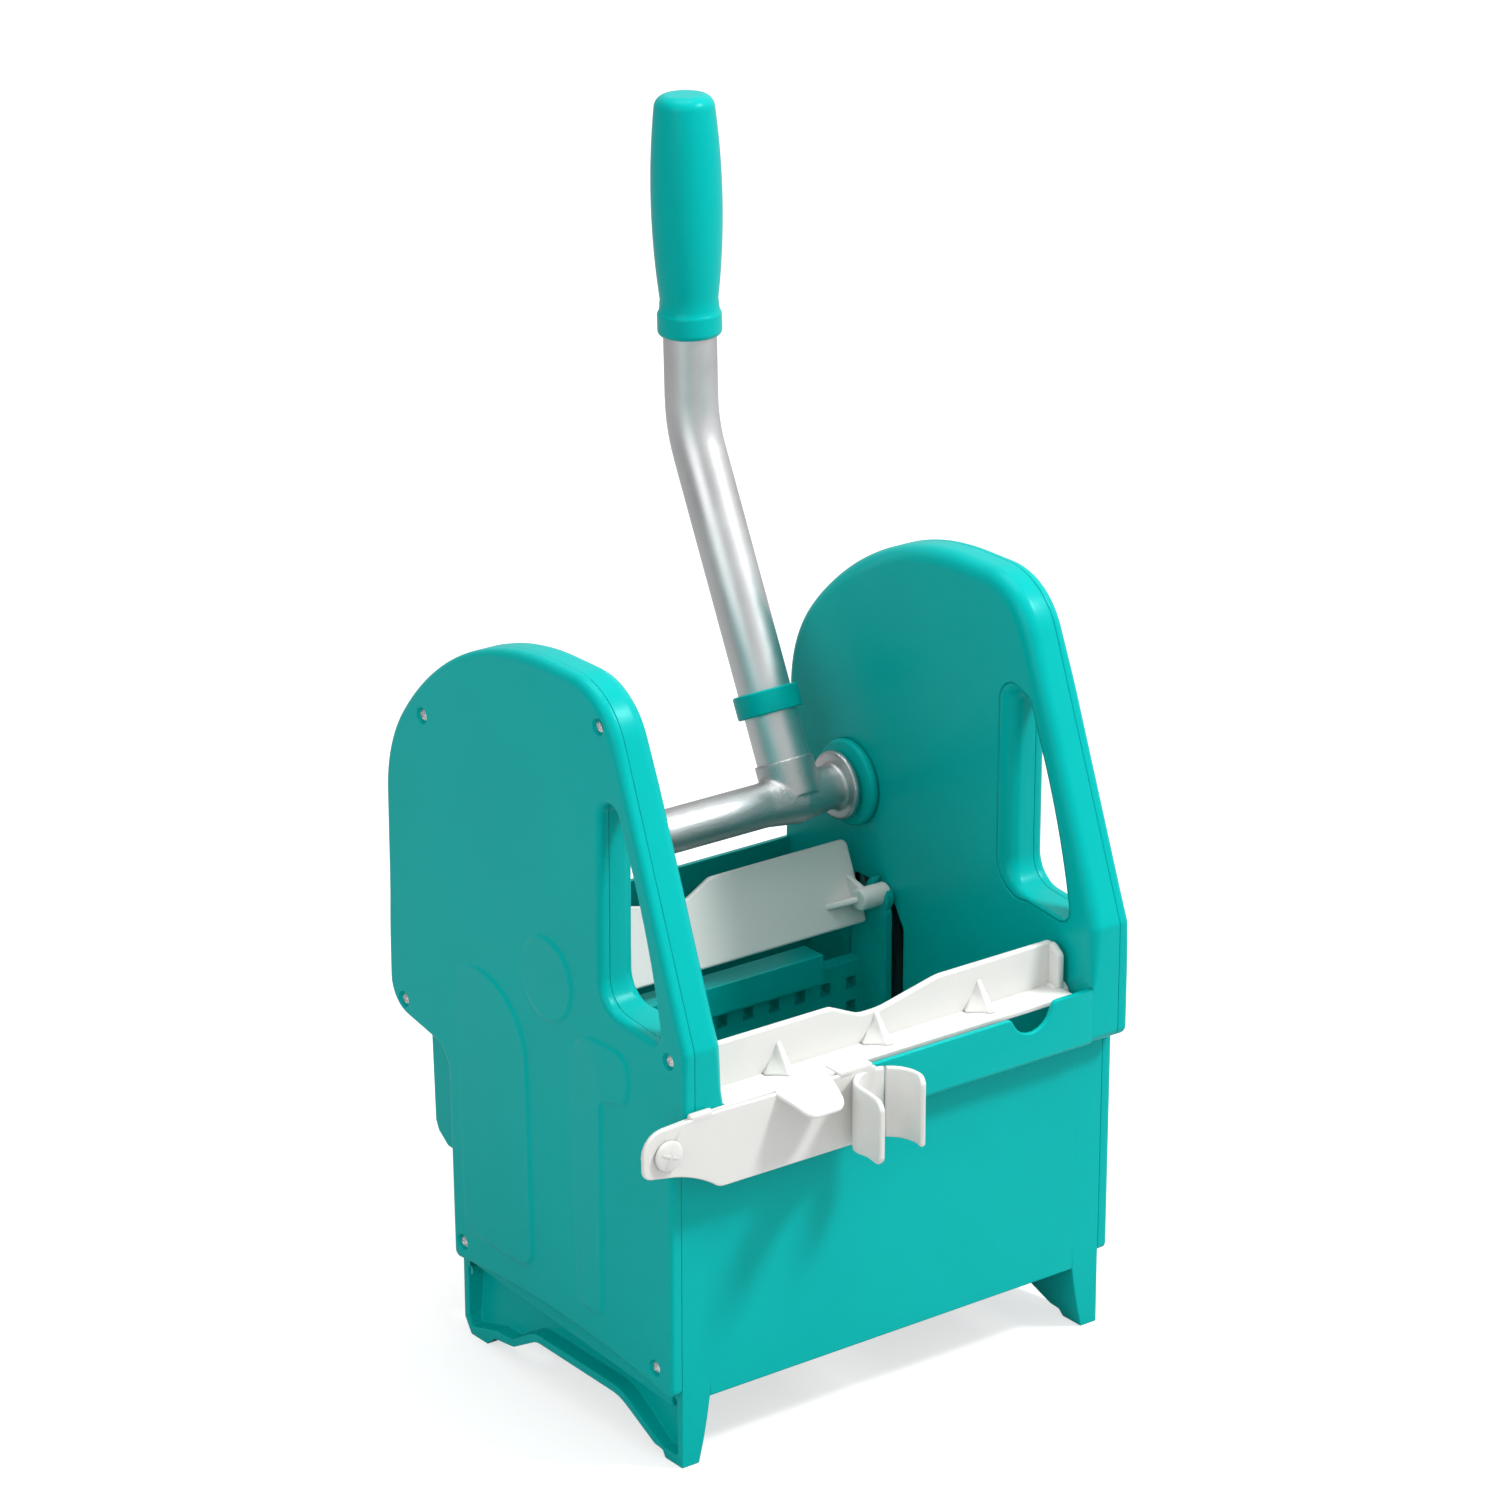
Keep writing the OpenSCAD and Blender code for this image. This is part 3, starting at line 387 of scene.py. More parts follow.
ARCH_R = 155.5
SHOULDER_R = 77.0
ARCH_Z = 351.5 - ARCH_R
SHOULDER_TURN = math.radians(37)  # where the arch runs into the shoulder
SHOULDER = (REAR_Y - SHOULDER_R, ARCH_Z + (ARCH_R - SHOULDER_R) * math.sin(SHOULDER_TURN))
ARCH_Y = SHOULDER[0] - (ARCH_R - SHOULDER_R) * math.cos(SHOULDER_TURN)
UPPER_SIDE = [
    (204.2, 105.0, -15.0), (222.8, 142.0, 18.0), (*SHOULDER, SHOULDER_R), (ARCH_Y, ARCH_Z, ARCH_R),
    (80.5, 311.5, 40.0), (-2.3, 183.5, 9.0), (-5.8, 128.4, 5.5), (-1.5, 121.4, -1.5)]
COVER_SIDE = [(4.0, 3.0, 4.0), (115.0, -642.0, -650.0), (183.2, 8.5, 4.0)] + UPPER_SIDE
CHEEK_SIDE = [
    (0.8, -39.8, 0.8), (14.2, -39.8, 0.8), (17.8, -38.6, -1.6), (22.6, -32.6, 4.0), (60.0, -52.4, -30.0),
    (121.5, -33.8, -12.0), (147.5, -25.3, 8.0), (160.5, -36.9, -2.0), (168.4, -39.8, 0.8),
    (182.0, -39.4, 1.2), (187.0, -32.1, 1.2)] + UPPER_SIDE
WINDOW = [(15.1, 189.0, 5.5), (41.0, 202.0, 16.0), (48.7, 286.0, 8.0), (382.9, 120.6, 380.0)]
DISH = [
    (6.6, -33.2, 2.2), (15.8, -33.2, 2.2), (23.0, -29.4, 3.0), (60.0, -52.4, -34.4), (121.5, -33.8, -16.4),
    (147.5, -25.3, 4.0), (160.2, -27.6, 2.4), (180.6, -33.8, 2.0), (181.8, -29.5, 2.0), (182.0, -4.0, 2.0),
    (115.0, -644.6, -650.0), (7.0, -6.6, 2.2)]
BACK_OPENING = [
    (143.5, 45.0, 3.0), (183.2, 45.0, 3.0), (179.2, 150.5, 5.0), (155.5, 150.5, 5.0), (144.0, 134.5, 4.0)]
GUIDE_SLOT = [(35.0, 42.0, 0, 0), (139.4, 42.0, 0, 0), (139.4, 60.0, 0, 0), (35.0, 60.0, 0, 0)]
SHAFT_HOLE_R = 14.9
PIN_HOLE_R = 4.6
SCREW_PLACES = [
    (SHOULDER[0] + 0.555 * SHOULDER_R, SHOULDER[1] + 0.64 * SHOULDER_R), (56.5, 331.4),
    (REAR_Y - 12.2, 132.1), (1.9, 178.0), (LOW_REAR_Y - 9.7, 14.4), (14.3, 10.6)]

# Raised pads of the covers: outline, the y where a pad has faded away, and the y where that starts
PADS = [
    ([(127.0, 34.0, 12.0), (170.0, 30.0, 8.0), (165.0, 155.3, 18.0), (160.0, 131.5, 42.3)], 186.0, 146.0),
    ([(101.5, 187.0, 23.0), (101.6, 187.1, 23.0)], 125.0, 100.0),
    ([(63.3, 28.0, 8.0), (72.0, 28.0, 8.0), (61.0, 146.5, 23.5), (44.6, 158.0, 12.5), (43.4, 150.6, 11.0),
      (52.3, 133.9, -3.0)], 84.0, 64.0)]
PAD_H = 1.15
PAD_STEPS = [(0.0, 0.0), (0.7, 0.12), (1.4, 0.5), (2.1, 0.88), (2.8, 1.0)]  # inset and share of the height

FACE_X = OUTER_X - PAD_H
CAVITY_X = INNER_X + WALL
SEAM_GAP = 0.02  # from the seam's middle to either piece
SEAM_GROOVE = 0.35
RECESS_R = 4.3
COVER_WINDOW_EDGE = 3.2
COVER_SKIN = 2.6
DISH_DEPTH = 10.0
LEG_TOP = -6.0


def ease(value, low, high):
    """0 below low, 1 above high and a smooth rise between."""
    t = max(0.0, min(1.0, (value - low) / (high - low)))
    return t * t * (3 - 2 * t)


def spread(start, end, count):
    return [start + (end - start) * i / count for i in range(count + 1)]


def quarter(steps):
    """How far a rounding has drawn in and how far it is from its face, as shares of its radius."""
    return [(1 - math.cos(t), 1 - math.sin(t)) for t in (math.pi / 2 * k / steps for k in range(steps + 1))]


def cover_edge(y, z):
    """Rounding of a cover's outer edge: small at the bottom, wider on the slanted front and the arch."""
    return 2.0 + 1.3 * ease(z, 165, 195) + 1.9 * ease(z, 295, 335) * (1 - ease(y, 110, 170))


def cheek_edge(y, z):
    """Rounding of a cheek's inner edge: none where a wall abuts it, wide above."""
    if z < 0:
        return 0.6
    if y < 100:
        return 0.04 + 4.6 * ease(z, 153, 165) + 2.3 * ease(z, 172, 195) + 1.9 * ease(z, 295, 335)
    return 0.04 + 5.5 * ease(z, 158, 185) + 3.3 * ease(z, 285, 335)


def window_edge(ny):
    """Rounding of the window on the cheek's inner face, wide at its rear side."""
    return 1.0 + 7.5 * max(0.0, ny)


def window_ring(bm, window, x, share=1.0, gap=0.0):
    """A ring round the window, outside it by a share of the rounding and by a gap."""
    return ring(bm, [(y + (window_edge(ny) * share + gap) * ny, z + (window_edge(ny) * share + gap) * nz)
                     for y, z, ny, nz in window], x)


def seam_rings(bm, outline, side, inward):
    """Rings of the groove between cover and cheek; side is 1 on the cover and -1 on the cheek."""
    return [ring(bm, drawn_in(outline, inward * SEAM_GROOVE), SEAM_X + side * SEAM_GAP),
            ring(bm, drawn_in(outline, 0.0), SEAM_X + side * SEAM_GROOVE)]


def rounded_rings(bm, outline, face_x, inward, radius, depth_limit):
    """Rings that turn from a side wall to a face; inward is the way from there into the piece."""
    rings = []
    for drawn, back in quarter(6):
        xs = [face_x + inward * min(radius(y, z), depth_limit) * back for y, z, _, _ in outline]
        rings.append(ring(bm, drawn_in(outline, lambda y, z, drawn=drawn: radius(y, z) * drawn), xs))
    return rings


def pad_rings(bm, circles, far, near):
    """One raised pad; returns its outermost ring, and the height to lift each vertex by."""
    outline = smooth_outline(circles, 9.0, 5.0)
    lifts, rings = {}, []
    for inset, share in PAD_STEPS:
        loop = ring(bm, drawn_in(outline, inset), FACE_X)
        for vert in loop:
            lifts[vert] = PAD_H * share * (1 - ease(vert.co.y, near, far))
        rings.append(loop)
    chain(bm, rings)
    fill_between(bm, rings[-1], [])
    return rings[0], lifts


def screw_recess(bm, y, z):
    """A round recess for a screw head, with a softened mouth; returns the mouth."""
    profile = [(RECESS_R + 0.35, 0.0), (RECESS_R + 0.1, -0.1), (RECESS_R, -0.35), (RECESS_R - 0.1, -2.3)]
    rings = [ring(bm, circle_outline(y, z, r, 28), FACE_X + dx) for r, dx in profile]
    chain(bm, rings)
    bm.faces.new(rings[-1])
    return rings[0]


def side_cover(name, node, mirror):
    """A side cover: outer shell with raised pads, screw recesses and the carrying window."""
    bm = bmesh.new()
    outline = smooth_outline(COVER_SIDE)
    seam = seam_rings(bm, outline, 1, 1)
    edge = rounded_rings(bm, outline, FACE_X, -1, cover_edge, depth_limit=6.2)
    chain(bm, seam + edge)

    window = smooth_outline(WINDOW, 9.0, 6.0)
    wall = seam_rings(bm, window, 1, -1)
    for drawn, back in quarter(5):
        wall.append(ring(bm, drawn_in(window, -COVER_WINDOW_EDGE * drawn), FACE_X - COVER_WINDOW_EDGE * back))
    chain(bm, wall)

    holes, lifts = [wall[-1]], {}
    for circles, far, near in PADS:
        foot, raised = pad_rings(bm, circles, far, near)
        holes.append(foot)
        lifts.update(raised)
    holes += [screw_recess(bm, y, z) for y, z in SCREW_PLACES]
    fill_between(bm, edge[-1], holes)
    for vert, lift in lifts.items():
        vert.co.x += lift

    # Hollow inside, open to the cheek
    ceiling_x = FACE_X - COVER_SKIN
    inner = [ring(bm, drawn_in(outline, WALL), SEAM_X + SEAM_GAP),
             ring(bm, drawn_in(outline, lambda y, z: 3.4 + 0.4 * cover_edge(y, z)), ceiling_x)]
    chain(bm, inner)
    sleeve = [ring(bm, drawn_in(window, -WALL), SEAM_X + SEAM_GAP),
              ring(bm, drawn_in(window, -5.5), ceiling_x)]
    chain(bm, sleeve)
    fill_between(bm, inner[-1], [sleeve[-1]])
    fill_between(bm, seam[0], [inner[0]])
    fill_between(bm, sleeve[0], [wall[0]])
    finish_mesh(bm, name, TEAL, "frame", node, mirror)


def cheek(name, node, mirror):
    """A cheek: inner side wall with its window, openings, feet and the dished lower rim."""
    bm = bmesh.new()
    outline = smooth_outline(CHEEK_SIDE)
    seam = seam_rings(bm, outline, -1, 1)
    edge = rounded_rings(bm, outline, INNER_X, 1, cheek_edge, depth_limit=12.0)
    chain(bm, seam + edge)

    # Window: its wall, a wide soft edge on the inner face and the fine groove round that
    window = smooth_outline(WINDOW, 9.0, 6.0)
    wall = seam_rings(bm, window, -1, -1)
    for drawn, back in quarter(6):
        xs = [INNER_X + 0.3 + window_edge(ny) * back for _, _, ny, _ in window]
        wall.append(window_ring(bm, window, xs, share=drawn))
    for gap, dx in ((0.12, 1.2), (0.72, 1.2), (0.95, 0.1), (1.15, 0.0)):
        wall.append(window_ring(bm, window, INNER_X + dx, gap=gap))
    chain(bm, wall)

    # Holes for the shaft and the front jaw's pin, the opening at the back and the press's guide slot
    mouths, backs = [], []
    for loop in (circle_outline(*SHAFT, SHAFT_HOLE_R, 40), circle_outline(*FRONT_PIN, PIN_HOLE_R, 24),
                 smooth_outline(BACK_OPENING, 15.0), GUIDE_SLOT):
        mouths.append(ring(bm, loop, INNER_X))
        backs.append(ring(bm, loop, CAVITY_X))
        bridge(bm, mouths[-1], backs[-1])
    fill_between(bm, edge[-1], [wall[-1]] + mouths)

    # Dish in the lower rim
    dish = smooth_outline(DISH)
    floor_x = SEAM_X - DISH_DEPTH
    bowl = [ring(bm, drawn_in(dish, inset), x) for inset, x in (
        (-0.5, SEAM_X - SEAM_GAP), (-0.1, SEAM_X - 0.4), (0.0, SEAM_X - 1.0), (0.5, floor_x + 1.5),
        (0.9, floor_x + 0.5), (1.8, floor_x))]
    chain(bm, bowl)
    bm.faces.new(bowl[-1])

    # Cavity for the press drive, open to the cover
    upper = smooth_outline(COVER_SIDE)
    cavity = [ring(bm, drawn_in(upper, inset), x) for inset, x in (
        (WALL, SEAM_X - SEAM_GAP), (WALL + 0.2, SEAM_X - 7.0),
        (lambda y, z: WALL + 0.4 + 0.42 * cheek_edge(y, z), CAVITY_X))]
    chain(bm, cavity)
    sleeve = [ring(bm, drawn_in(window, -WALL), x) for x in (SEAM_X - SEAM_GAP, SEAM_X - 9.0)]
    sleeve.append(window_ring(bm, window, CAVITY_X, gap=2.2))
    chain(bm, sleeve)
    fill_between(bm, cavity[-1], [sleeve[-1]] + backs)
    fill_between(bm, seam[0], [cavity[0], bowl[0]])
    fill_between(bm, sleeve[0], [wall[0]])

    # The legs narrow towards their feet, more so below their knee
    knee, above_knee, below_knee = 0.53, 3.0, 4.0
    for vert in bm.verts:
        if vert.co.z < LEG_TOP:
            t = (LEG_TOP - vert.co.z) / (FOOT_H + LEG_TOP)
            taper = above_knee * min(1.0, t / knee) + below_knee * max(0.0, (t - knee) / (1 - knee))
            vert.co.x += taper * (SEAM_X - vert.co.x) / (SEAM_X - INNER_X)
    finish_mesh(bm, name, TEAL, "frame", node, mirror)


for hand, mirrored in (("left", True), ("right", False)):
    side_cover("side_cover_" + hand, "cover_" + hand, mirrored)
for hand, mirrored in (("left", True), ("right", False)):
    cheek("inner_cheek_" + hand, "cheek_" + hand, mirrored)


# CAD nodes that keep their shape get their materials

KEPT_SHAPES = {"lever_tube": TUBE, "arm_screws": SCREW}
for hand in ("left", "right"):
    KEPT_SHAPES.update({
        "crank_" + hand: DRIVE, "cam_roller_" + hand: WHITE, "return_spring_" + hand: DRIVE,
        "push_arm_" + hand: DRIVE, "guide_shoe_" + hand: WHITE})
for node, material in KEPT_SHAPES.items():
    for slot in bpy.data.objects[node].material_slots:
        slot.material = material


# Walls, plate and rail: the drawn shapes with their moulded edges

FLAT_TURN = math.radians(0.4)
EDGE_TURN = math.radians(25)


def drawn_mesh(node):
    """A CAD node's mesh as a bmesh, with its doubles merged and its flat faces whole."""
    bm = bmesh.new()
    bm.from_mesh(bpy.data.objects[node].data)
    bmesh.ops.remove_doubles(bm, verts=bm.verts, dist=0.000005)
    bmesh.ops.dissolve_limit(bm, angle_limit=FLAT_TURN, verts=bm.verts, edges=bm.edges)
    return bm


def softened(name, node, material, body, width, segments=3, keep=None, share=None, reshape=None):
    """A node's shape with rounded edges; keep finds those that stay sharp, share how far one is rounded."""
    bm = drawn_mesh(node)
    if reshape:
        reshape(bm)
    weight = bm.edges.layers.float.new("bevel_weight_edge")
    for edge in bm.edges:
        middle = ((edge.verts[0].co + edge.verts[1].co) / 2 - DATUM) / MM
        turn = edge.calc_face_angle(0.0) if len(edge.link_faces) == 2 else 0.0
        if turn > EDGE_TURN and not (keep and keep(middle)):
            edge[weight] = share(middle) if share else 1.0
    piece = finish_piece(mesh_of(bm, name), name, material, body, node)
    rounding = piece.modifiers.new("moulded_edges", "BEVEL")
    rounding.limit_method = "WEIGHT"
    rounding.width = width * MM
    rounding.segments = segments
    rounding.miter_outer = "MITER_ARC"
    rounding.harden_normals = False
    even_shading(piece)


def deepen_plate(bm):
    """Makes the plate's grid thicker at its back, so that its holes look deep and dark."""
    back_y, added = 170.8, 5.0
    for vert in bm.verts:
        if vert.co.y > DATUM.y + back_y * MM:
            vert.co.y += added * MM


def roll_share(p):
    """The roll above the holes is well rounded, the rest of the plate a little."""
    roll_low, roll_rear, rest_share = 113, 163, 0.16
    return 1.0 if p.z > roll_low and p.y < roll_rear else rest_share


def at_cheeks(p):
    return abs(abs(p.x) - INNER_X) < 0.2


softened("front_wall", "front_panel", TEAL, "frame", 0.9, keep=at_cheeks)
softened("rear_wall", "rear_panel", TEAL, "frame", 1.0, keep=at_cheeks)
softened("drain_grid", "drain_floor", TEAL, "frame", 0.6, segments=2, keep=at_cheeks)
softened("perforated_plate", "press_plate", TEAL, "press", 4.2, segments=4, share=roll_share,
         reshape=deepen_plate)
softened("rail_over_band", "holder_rail", WHITE, "frame", 0.5)


# Turned pieces: bushings, collar and grip

TURNED_SIDES = 96


def turned_piece(name, node, material, body, profile, to_frame):
    """A closed profile of (radius, height), turned; to_frame carries a point to its place."""
    bm = bmesh.new()
    loops = [[bm.verts.new(to_frame(Vector((*on_circle(0.0, 0.0, r, a), h))))
              for a in full_turn(TURNED_SIDES)] for r, h in profile]
    chain(bm, loops + loops[:1])
    finish_mesh(bm, name, material, body, node)


def rounded_corner(centre_r, centre_h, radius, start, end, steps=6):
    """Points of an arc in a turned profile, from one angle to another in degrees."""
    return [on_circle(centre_r, centre_h, radius, math.radians(a)) for a in spread(start, end, steps)]


def beside_cheek(side):
    """Places turned pieces on the shaft's axis; height runs outwards from the cheek's inner face."""
    def to_frame(p):
        return Vector((side * (INNER_X + p.z), SHAFT[0] + p.x, SHAFT[1] + p.y))
    return to_frame


LOWER_AXIS = Vector((0, math.sin(LEAN_LOW), math.cos(LEAN_LOW)))
UPPER_AXIS = Vector((0, math.sin(LEAN_HIGH), math.cos(LEAN_HIGH)))
SHAFT_POINT = Vector((LEVER_X, *SHAFT))
BEND_POINT = SHAFT_POINT + LOWER_AXIS * LOW_LEN


def along_axis(start, axis):
    """Places turned pieces on the lever; height runs up from a starting point."""
    across = Vector((1, 0, 0))
    third = axis.cross(across)

    def to_frame(p):
        return start + across * p.x + third * p.y + axis * p.z
    return to_frame


# Each profile starts at the bore, and runs round the outside back to it
BUSHING = ([(11.85, 8.0), (14.85, 8.0), (14.85, 0.05), (23.3, 0.05)]
           + [(r, -h) for r, h in rounded_corner(20.3, 2.4, 3.0, 0, 62)]
           + [(r, -h) for r, h in rounded_corner(15.2, 5.4, 1.0, 75, 120, 3)]
           + [(13.4, -6.0), (12.2, -5.9), (11.85, -5.6)])
COLLAR = ([(14.1, 45.4), (14.5, 45.0)] + rounded_corner(16.25, 46.0, 1.0, -90, 0, 4) + [(17.25, 51.0)]
          + rounded_corner(16.05, 56.3, 1.2, 0, 90, 5) + [(14.5, 57.5), (14.1, 57.1)])


def grip_profile():
    """Grip: a collar, a neck, one long bow and a domed end, closed round the tube."""
    bow_from, bow_to = 19.5, GRIP_LEN - 7.0
    widest_r, widest_at, bow_r = 18.5, 72.0, 421.0
    bore_r, bore_end, axis_r = 14.05, GRIP_LEN - 9.0, 0.02
    collar = (rounded_corner(13.85, 3.0, 3.0, -90, 0) + [(16.85, 5.5)]
              + rounded_corner(13.85, 11.0, 3.0, 0, 40, 5))
    # The neck runs into the bow with a soft hollow
    neck = [(15.75, 14.2), (15.5, 15.6), (15.52, 17.0)]
    bow = [(widest_r - bow_r + math.sqrt(bow_r ** 2 - (h - widest_at) ** 2), h)
           for h in spread(bow_from, bow_to, 24)]
    dome = rounded_corner(8.8, bow_to, 7.0, 4, 90, 9) + [(4.0, GRIP_LEN), (axis_r, GRIP_LEN)]
    inside = [(axis_r, bore_end), (bore_r, bore_end), (bore_r, 0.0)]
    return collar + neck + bow + dome + inside


for side, hand in ((-1, "left"), (1, "right")):
    turned_piece("shaft_bushing_" + hand, "bushing_" + hand, TEAL, "frame", BUSHING, beside_cheek(side))
turned_piece("tube_collar", "lever_collar", TEAL, "lever", COLLAR, along_axis(SHAFT_POINT, LOWER_AXIS))
turned_piece("hand_grip", "lever_grip", TEAL, "lever", grip_profile(),
             along_axis(BEND_POINT + UPPER_AXIS * GRIP_AT, UPPER_AXIS))


# Cast lever shaft: the drawn solids melted into one casting with its flow marks

FLOW_MARK_R = 0.9
FLOW_MARK_OUT = 11.6
FLOW_MARKS = ((4.0, 40.0), (9.5, 41.0), (15.0, 42.0))  # mm beside the lever, degrees round the shaft
CAST_VOXEL = 0.75


def cast_shaft():
    bm = drawn_mesh("pivot_shaft")
    bmesh.ops.triangulate(bm, faces=bm.faces)
    for dx, turn in FLOW_MARKS:
        centre = place(LEVER_X + dx, *on_circle(*SHAFT, FLOW_MARK_OUT, math.radians(90 + turn)))
        bmesh.ops.create_icosphere(bm, subdivisions=2, radius=FLOW_MARK_R * MM,
                                   matrix=Matrix.Translation(centre))
    rough = add_object("cast_shaft_rough", mesh_of(bm, "cast_shaft_rough"))
    melt = rough.modifiers.new("melt", "REMESH")
    melt.mode = "VOXEL"
    melt.voxel_size = CAST_VOXEL * MM
    smooth = rough.modifiers.new("smooth", "CORRECTIVE_SMOOTH")
    smooth.smooth_type = "SIMPLE"
    smooth.factor = 0.5
    smooth.iterations = 5
    smooth.use_only_smooth = True
    cast = settled_mesh(rough)
    for face in cast.polygons:
        face.use_smooth = True
    finish_piece(cast, "cast_lever_shaft", CAST, "lever", "pivot_shaft")


def settled_mesh(item):
    """The mesh that an object's modifiers make; the object is removed."""
    mesh = bpy.data.meshes.new_from_object(item.evaluated_get(bpy.context.evaluated_depsgraph_get()))
    bpy.data.objects.remove(item)
    return mesh


cast_shaft()


# Screws of the covers, repeated by a node tree

SCREW_HEAD = {"Head radius": 3.6, "Dome radius": 4.9, "Head height": 1.75,
              "Cross length": 4.7, "Cross width": 1.05, "Cross depth": 1.3}
SCREW_FOOT_X = FACE_X - 2.28
HAIR_TURN = 0.0001  # keeps the faces of the cross's two bars apart


def cross_head_group():
    """A domed head with a cross recess on every point; returns the group and its material's key."""
    group = bpy.data.node_groups.new("cross_head_screws", "GeometryNodeTree")
    add_socket(group, "Geometry", "INPUT", "NodeSocketGeometry")
    for name, size in SCREW_HEAD.items():
        add_socket(group, name, "INPUT", "NodeSocketFloat", size * MM)
    material = add_socket(group, "Material", "INPUT", "NodeSocketMaterial")
    add_socket(group, "Geometry", "OUTPUT", "NodeSocketGeometry")
    given = add_node(group, "NodeGroupInput").outputs

    def lifted(mesh, z, turn=0.0):
        shift = add_node(group, "ShaderNodeCombineXYZ", {"Z": z}).outputs["Vector"]
        return add_node(group, "GeometryNodeTransform", {
            "Geometry": mesh, "Translation": shift, "Rotation": (0, 0, turn)}).outputs["Geometry"]

    def combined(operation, meshes, first=None):
        node = add_node(group, "GeometryNodeMeshBoolean", {"Mesh 1": first} if first is not None else None,
                        operation=operation, solver="EXACT")
        for mesh in meshes:
            group.links.new(mesh, node.inputs["Mesh 2"])
        return node.outputs["Mesh"]

    height = given["Head height"]
    dome = add_node(group, "GeometryNodeMeshUVSphere",
                    {"Segments": 48, "Rings": 40, "Radius": given["Dome radius"]}).outputs["Mesh"]
    barrel = add_node(group, "GeometryNodeMeshCylinder", {
        "Vertices": 48, "Radius": given["Head radius"],
        "Depth": arithmetic(group, "MULTIPLY", height, 4.0)}).outputs["Mesh"]
    head = combined("INTERSECT", [lifted(dome, arithmetic(group, "SUBTRACT", height, given["Dome radius"])),
                                  lifted(barrel, arithmetic(group, "MULTIPLY", height, 1.7))])
    size = add_node(group, "ShaderNodeCombineXYZ", {
        "X": given["Cross length"], "Y": given["Cross width"],
        "Z": arithmetic(group, "MULTIPLY", given["Cross depth"], 2.0)})
    bar = add_node(group, "GeometryNodeMeshCube", {"Size": size.outputs["Vector"]}).outputs["Mesh"]
    head = combined("DIFFERENCE", [lifted(bar, height, turn) for turn in (HAIR_TURN, math.pi / 2)], head)

    # Every head faces its point's way; chance turns its cross
    facing = add_node(group, "GeometryNodeInputNamedAttribute", {"Name": "facing"}, data_type="FLOAT_VECTOR")
    aligned = add_node(group, "FunctionNodeAlignRotationToVector", {"Vector": facing.outputs["Attribute"]},
                       axis="Z")
    chance = add_node(group, "FunctionNodeRandomValue", {2: 0.2, 3: 1.4}, data_type="FLOAT")
    turn = add_node(group, "FunctionNodeAxisAngleToRotation", {"Axis": (0, 0, 1), "Angle": chance.outputs[1]})
    spin = add_node(group, "FunctionNodeRotateRotation", {
        "Rotation": aligned.outputs["Rotation"], "Rotate By": turn.outputs["Rotation"]},
        rotation_space="LOCAL")
    heads = add_node(group, "GeometryNodeInstanceOnPoints", {
        "Points": given["Geometry"], "Instance": head, "Rotation": spin.outputs["Rotation"]})
    real = add_node(group, "GeometryNodeRealizeInstances", {"Geometry": heads.outputs["Instances"]})
    finish = add_node(group, "GeometryNodeSetMaterial", {
        "Geometry": real.outputs["Geometry"], "Material": given["Material"]})
    add_node(group, "NodeGroupOutput", {"Geometry": finish.outputs["Geometry"]})
    return group, material.identifier


def cover_screws():
    """All cover screws: the node tree on a cloud of points, made into one mesh."""
    points = [(side, place(side * SCREW_FOOT_X, y, z)) for side in (-1, 1) for y, z in SCREW_PLACES]
    cloud = bpy.data.meshes.new("screw_points")
    cloud.from_pydata([tuple(p) for _, p in points], [], [])
    facing = cloud.attributes.new("facing", "FLOAT_VECTOR", "POINT")
    for item, (side, _) in zip(facing.data, points):
        item.vector = (side, 0, 0)
    holder = add_object("screw_points", cloud)
    tree = holder.modifiers.new("repeat", "NODES")
    group, material_key = cross_head_group()
    tree.node_group = group
    tree[material_key] = SCREW
    mesh = settled_mesh(holder)
    mesh.name = "cross_head_screws"
    bpy.data.meshes.remove(cloud)
    finish_piece(mesh, "cross_head_screws", SCREW, "frame", "cover_screws")


cover_screws()


# Moulded sheets and bars of the handle holder and the jaws

ROUNDNESS = 0.92  # share of a bar's half width in its corners


def slab(bm, outline, to_point, low, high, rounding, holes=()):
    """A sheet with rounded edges: an outline of (u, v) carried to its place between two heights."""
    def loop(points, inset, height):
        return [bm.verts.new(to_point(u - inset * nu, v - inset * nv, height)) for u, v, nu, nv in points]

    turn = quarter(3)
    rings = [loop(outline, rounding * drawn, low + rounding * back) for drawn, back in reversed(turn)]
    rings += [loop(outline, rounding * drawn, high - rounding * back) for drawn, back in turn]
    chain(bm, rings)
    bottoms, tops = [], []
    for hole in holes:
        bottoms.append(loop(hole, 0.0, low))
        tops.append(loop(hole, 0.0, high))
        bridge(bm, bottoms[-1], tops[-1])
    fill_between(bm, rings[0], bottoms)
    fill_between(bm, rings[-1], tops)


def lofted(bm, stations):
    """A rounded bar along a path of stations: place, sideways direction, half the width, low and high."""
    rings = []
    for x, y, nx, ny, half, low, high in stations:
        r = min(half, (high - low) / 2) * ROUNDNESS
        loop = []
        corners = ((1, high - r, 0), (-1, high - r, 90), (-1, low + r, 180), (1, low + r, 270))
        for su, centre_z, start in corners:
            for turn in (0, 30, 60, 90):
                u, z = on_circle(su * (half - r), centre_z, r, math.radians(start + turn))
                loop.append(bm.verts.new((x + nx * u, y + ny * u, z)))
        rings.append(loop)
    capped(bm, rings)


# Handle holder: one moulded arm with its tab, its clip and a small hook

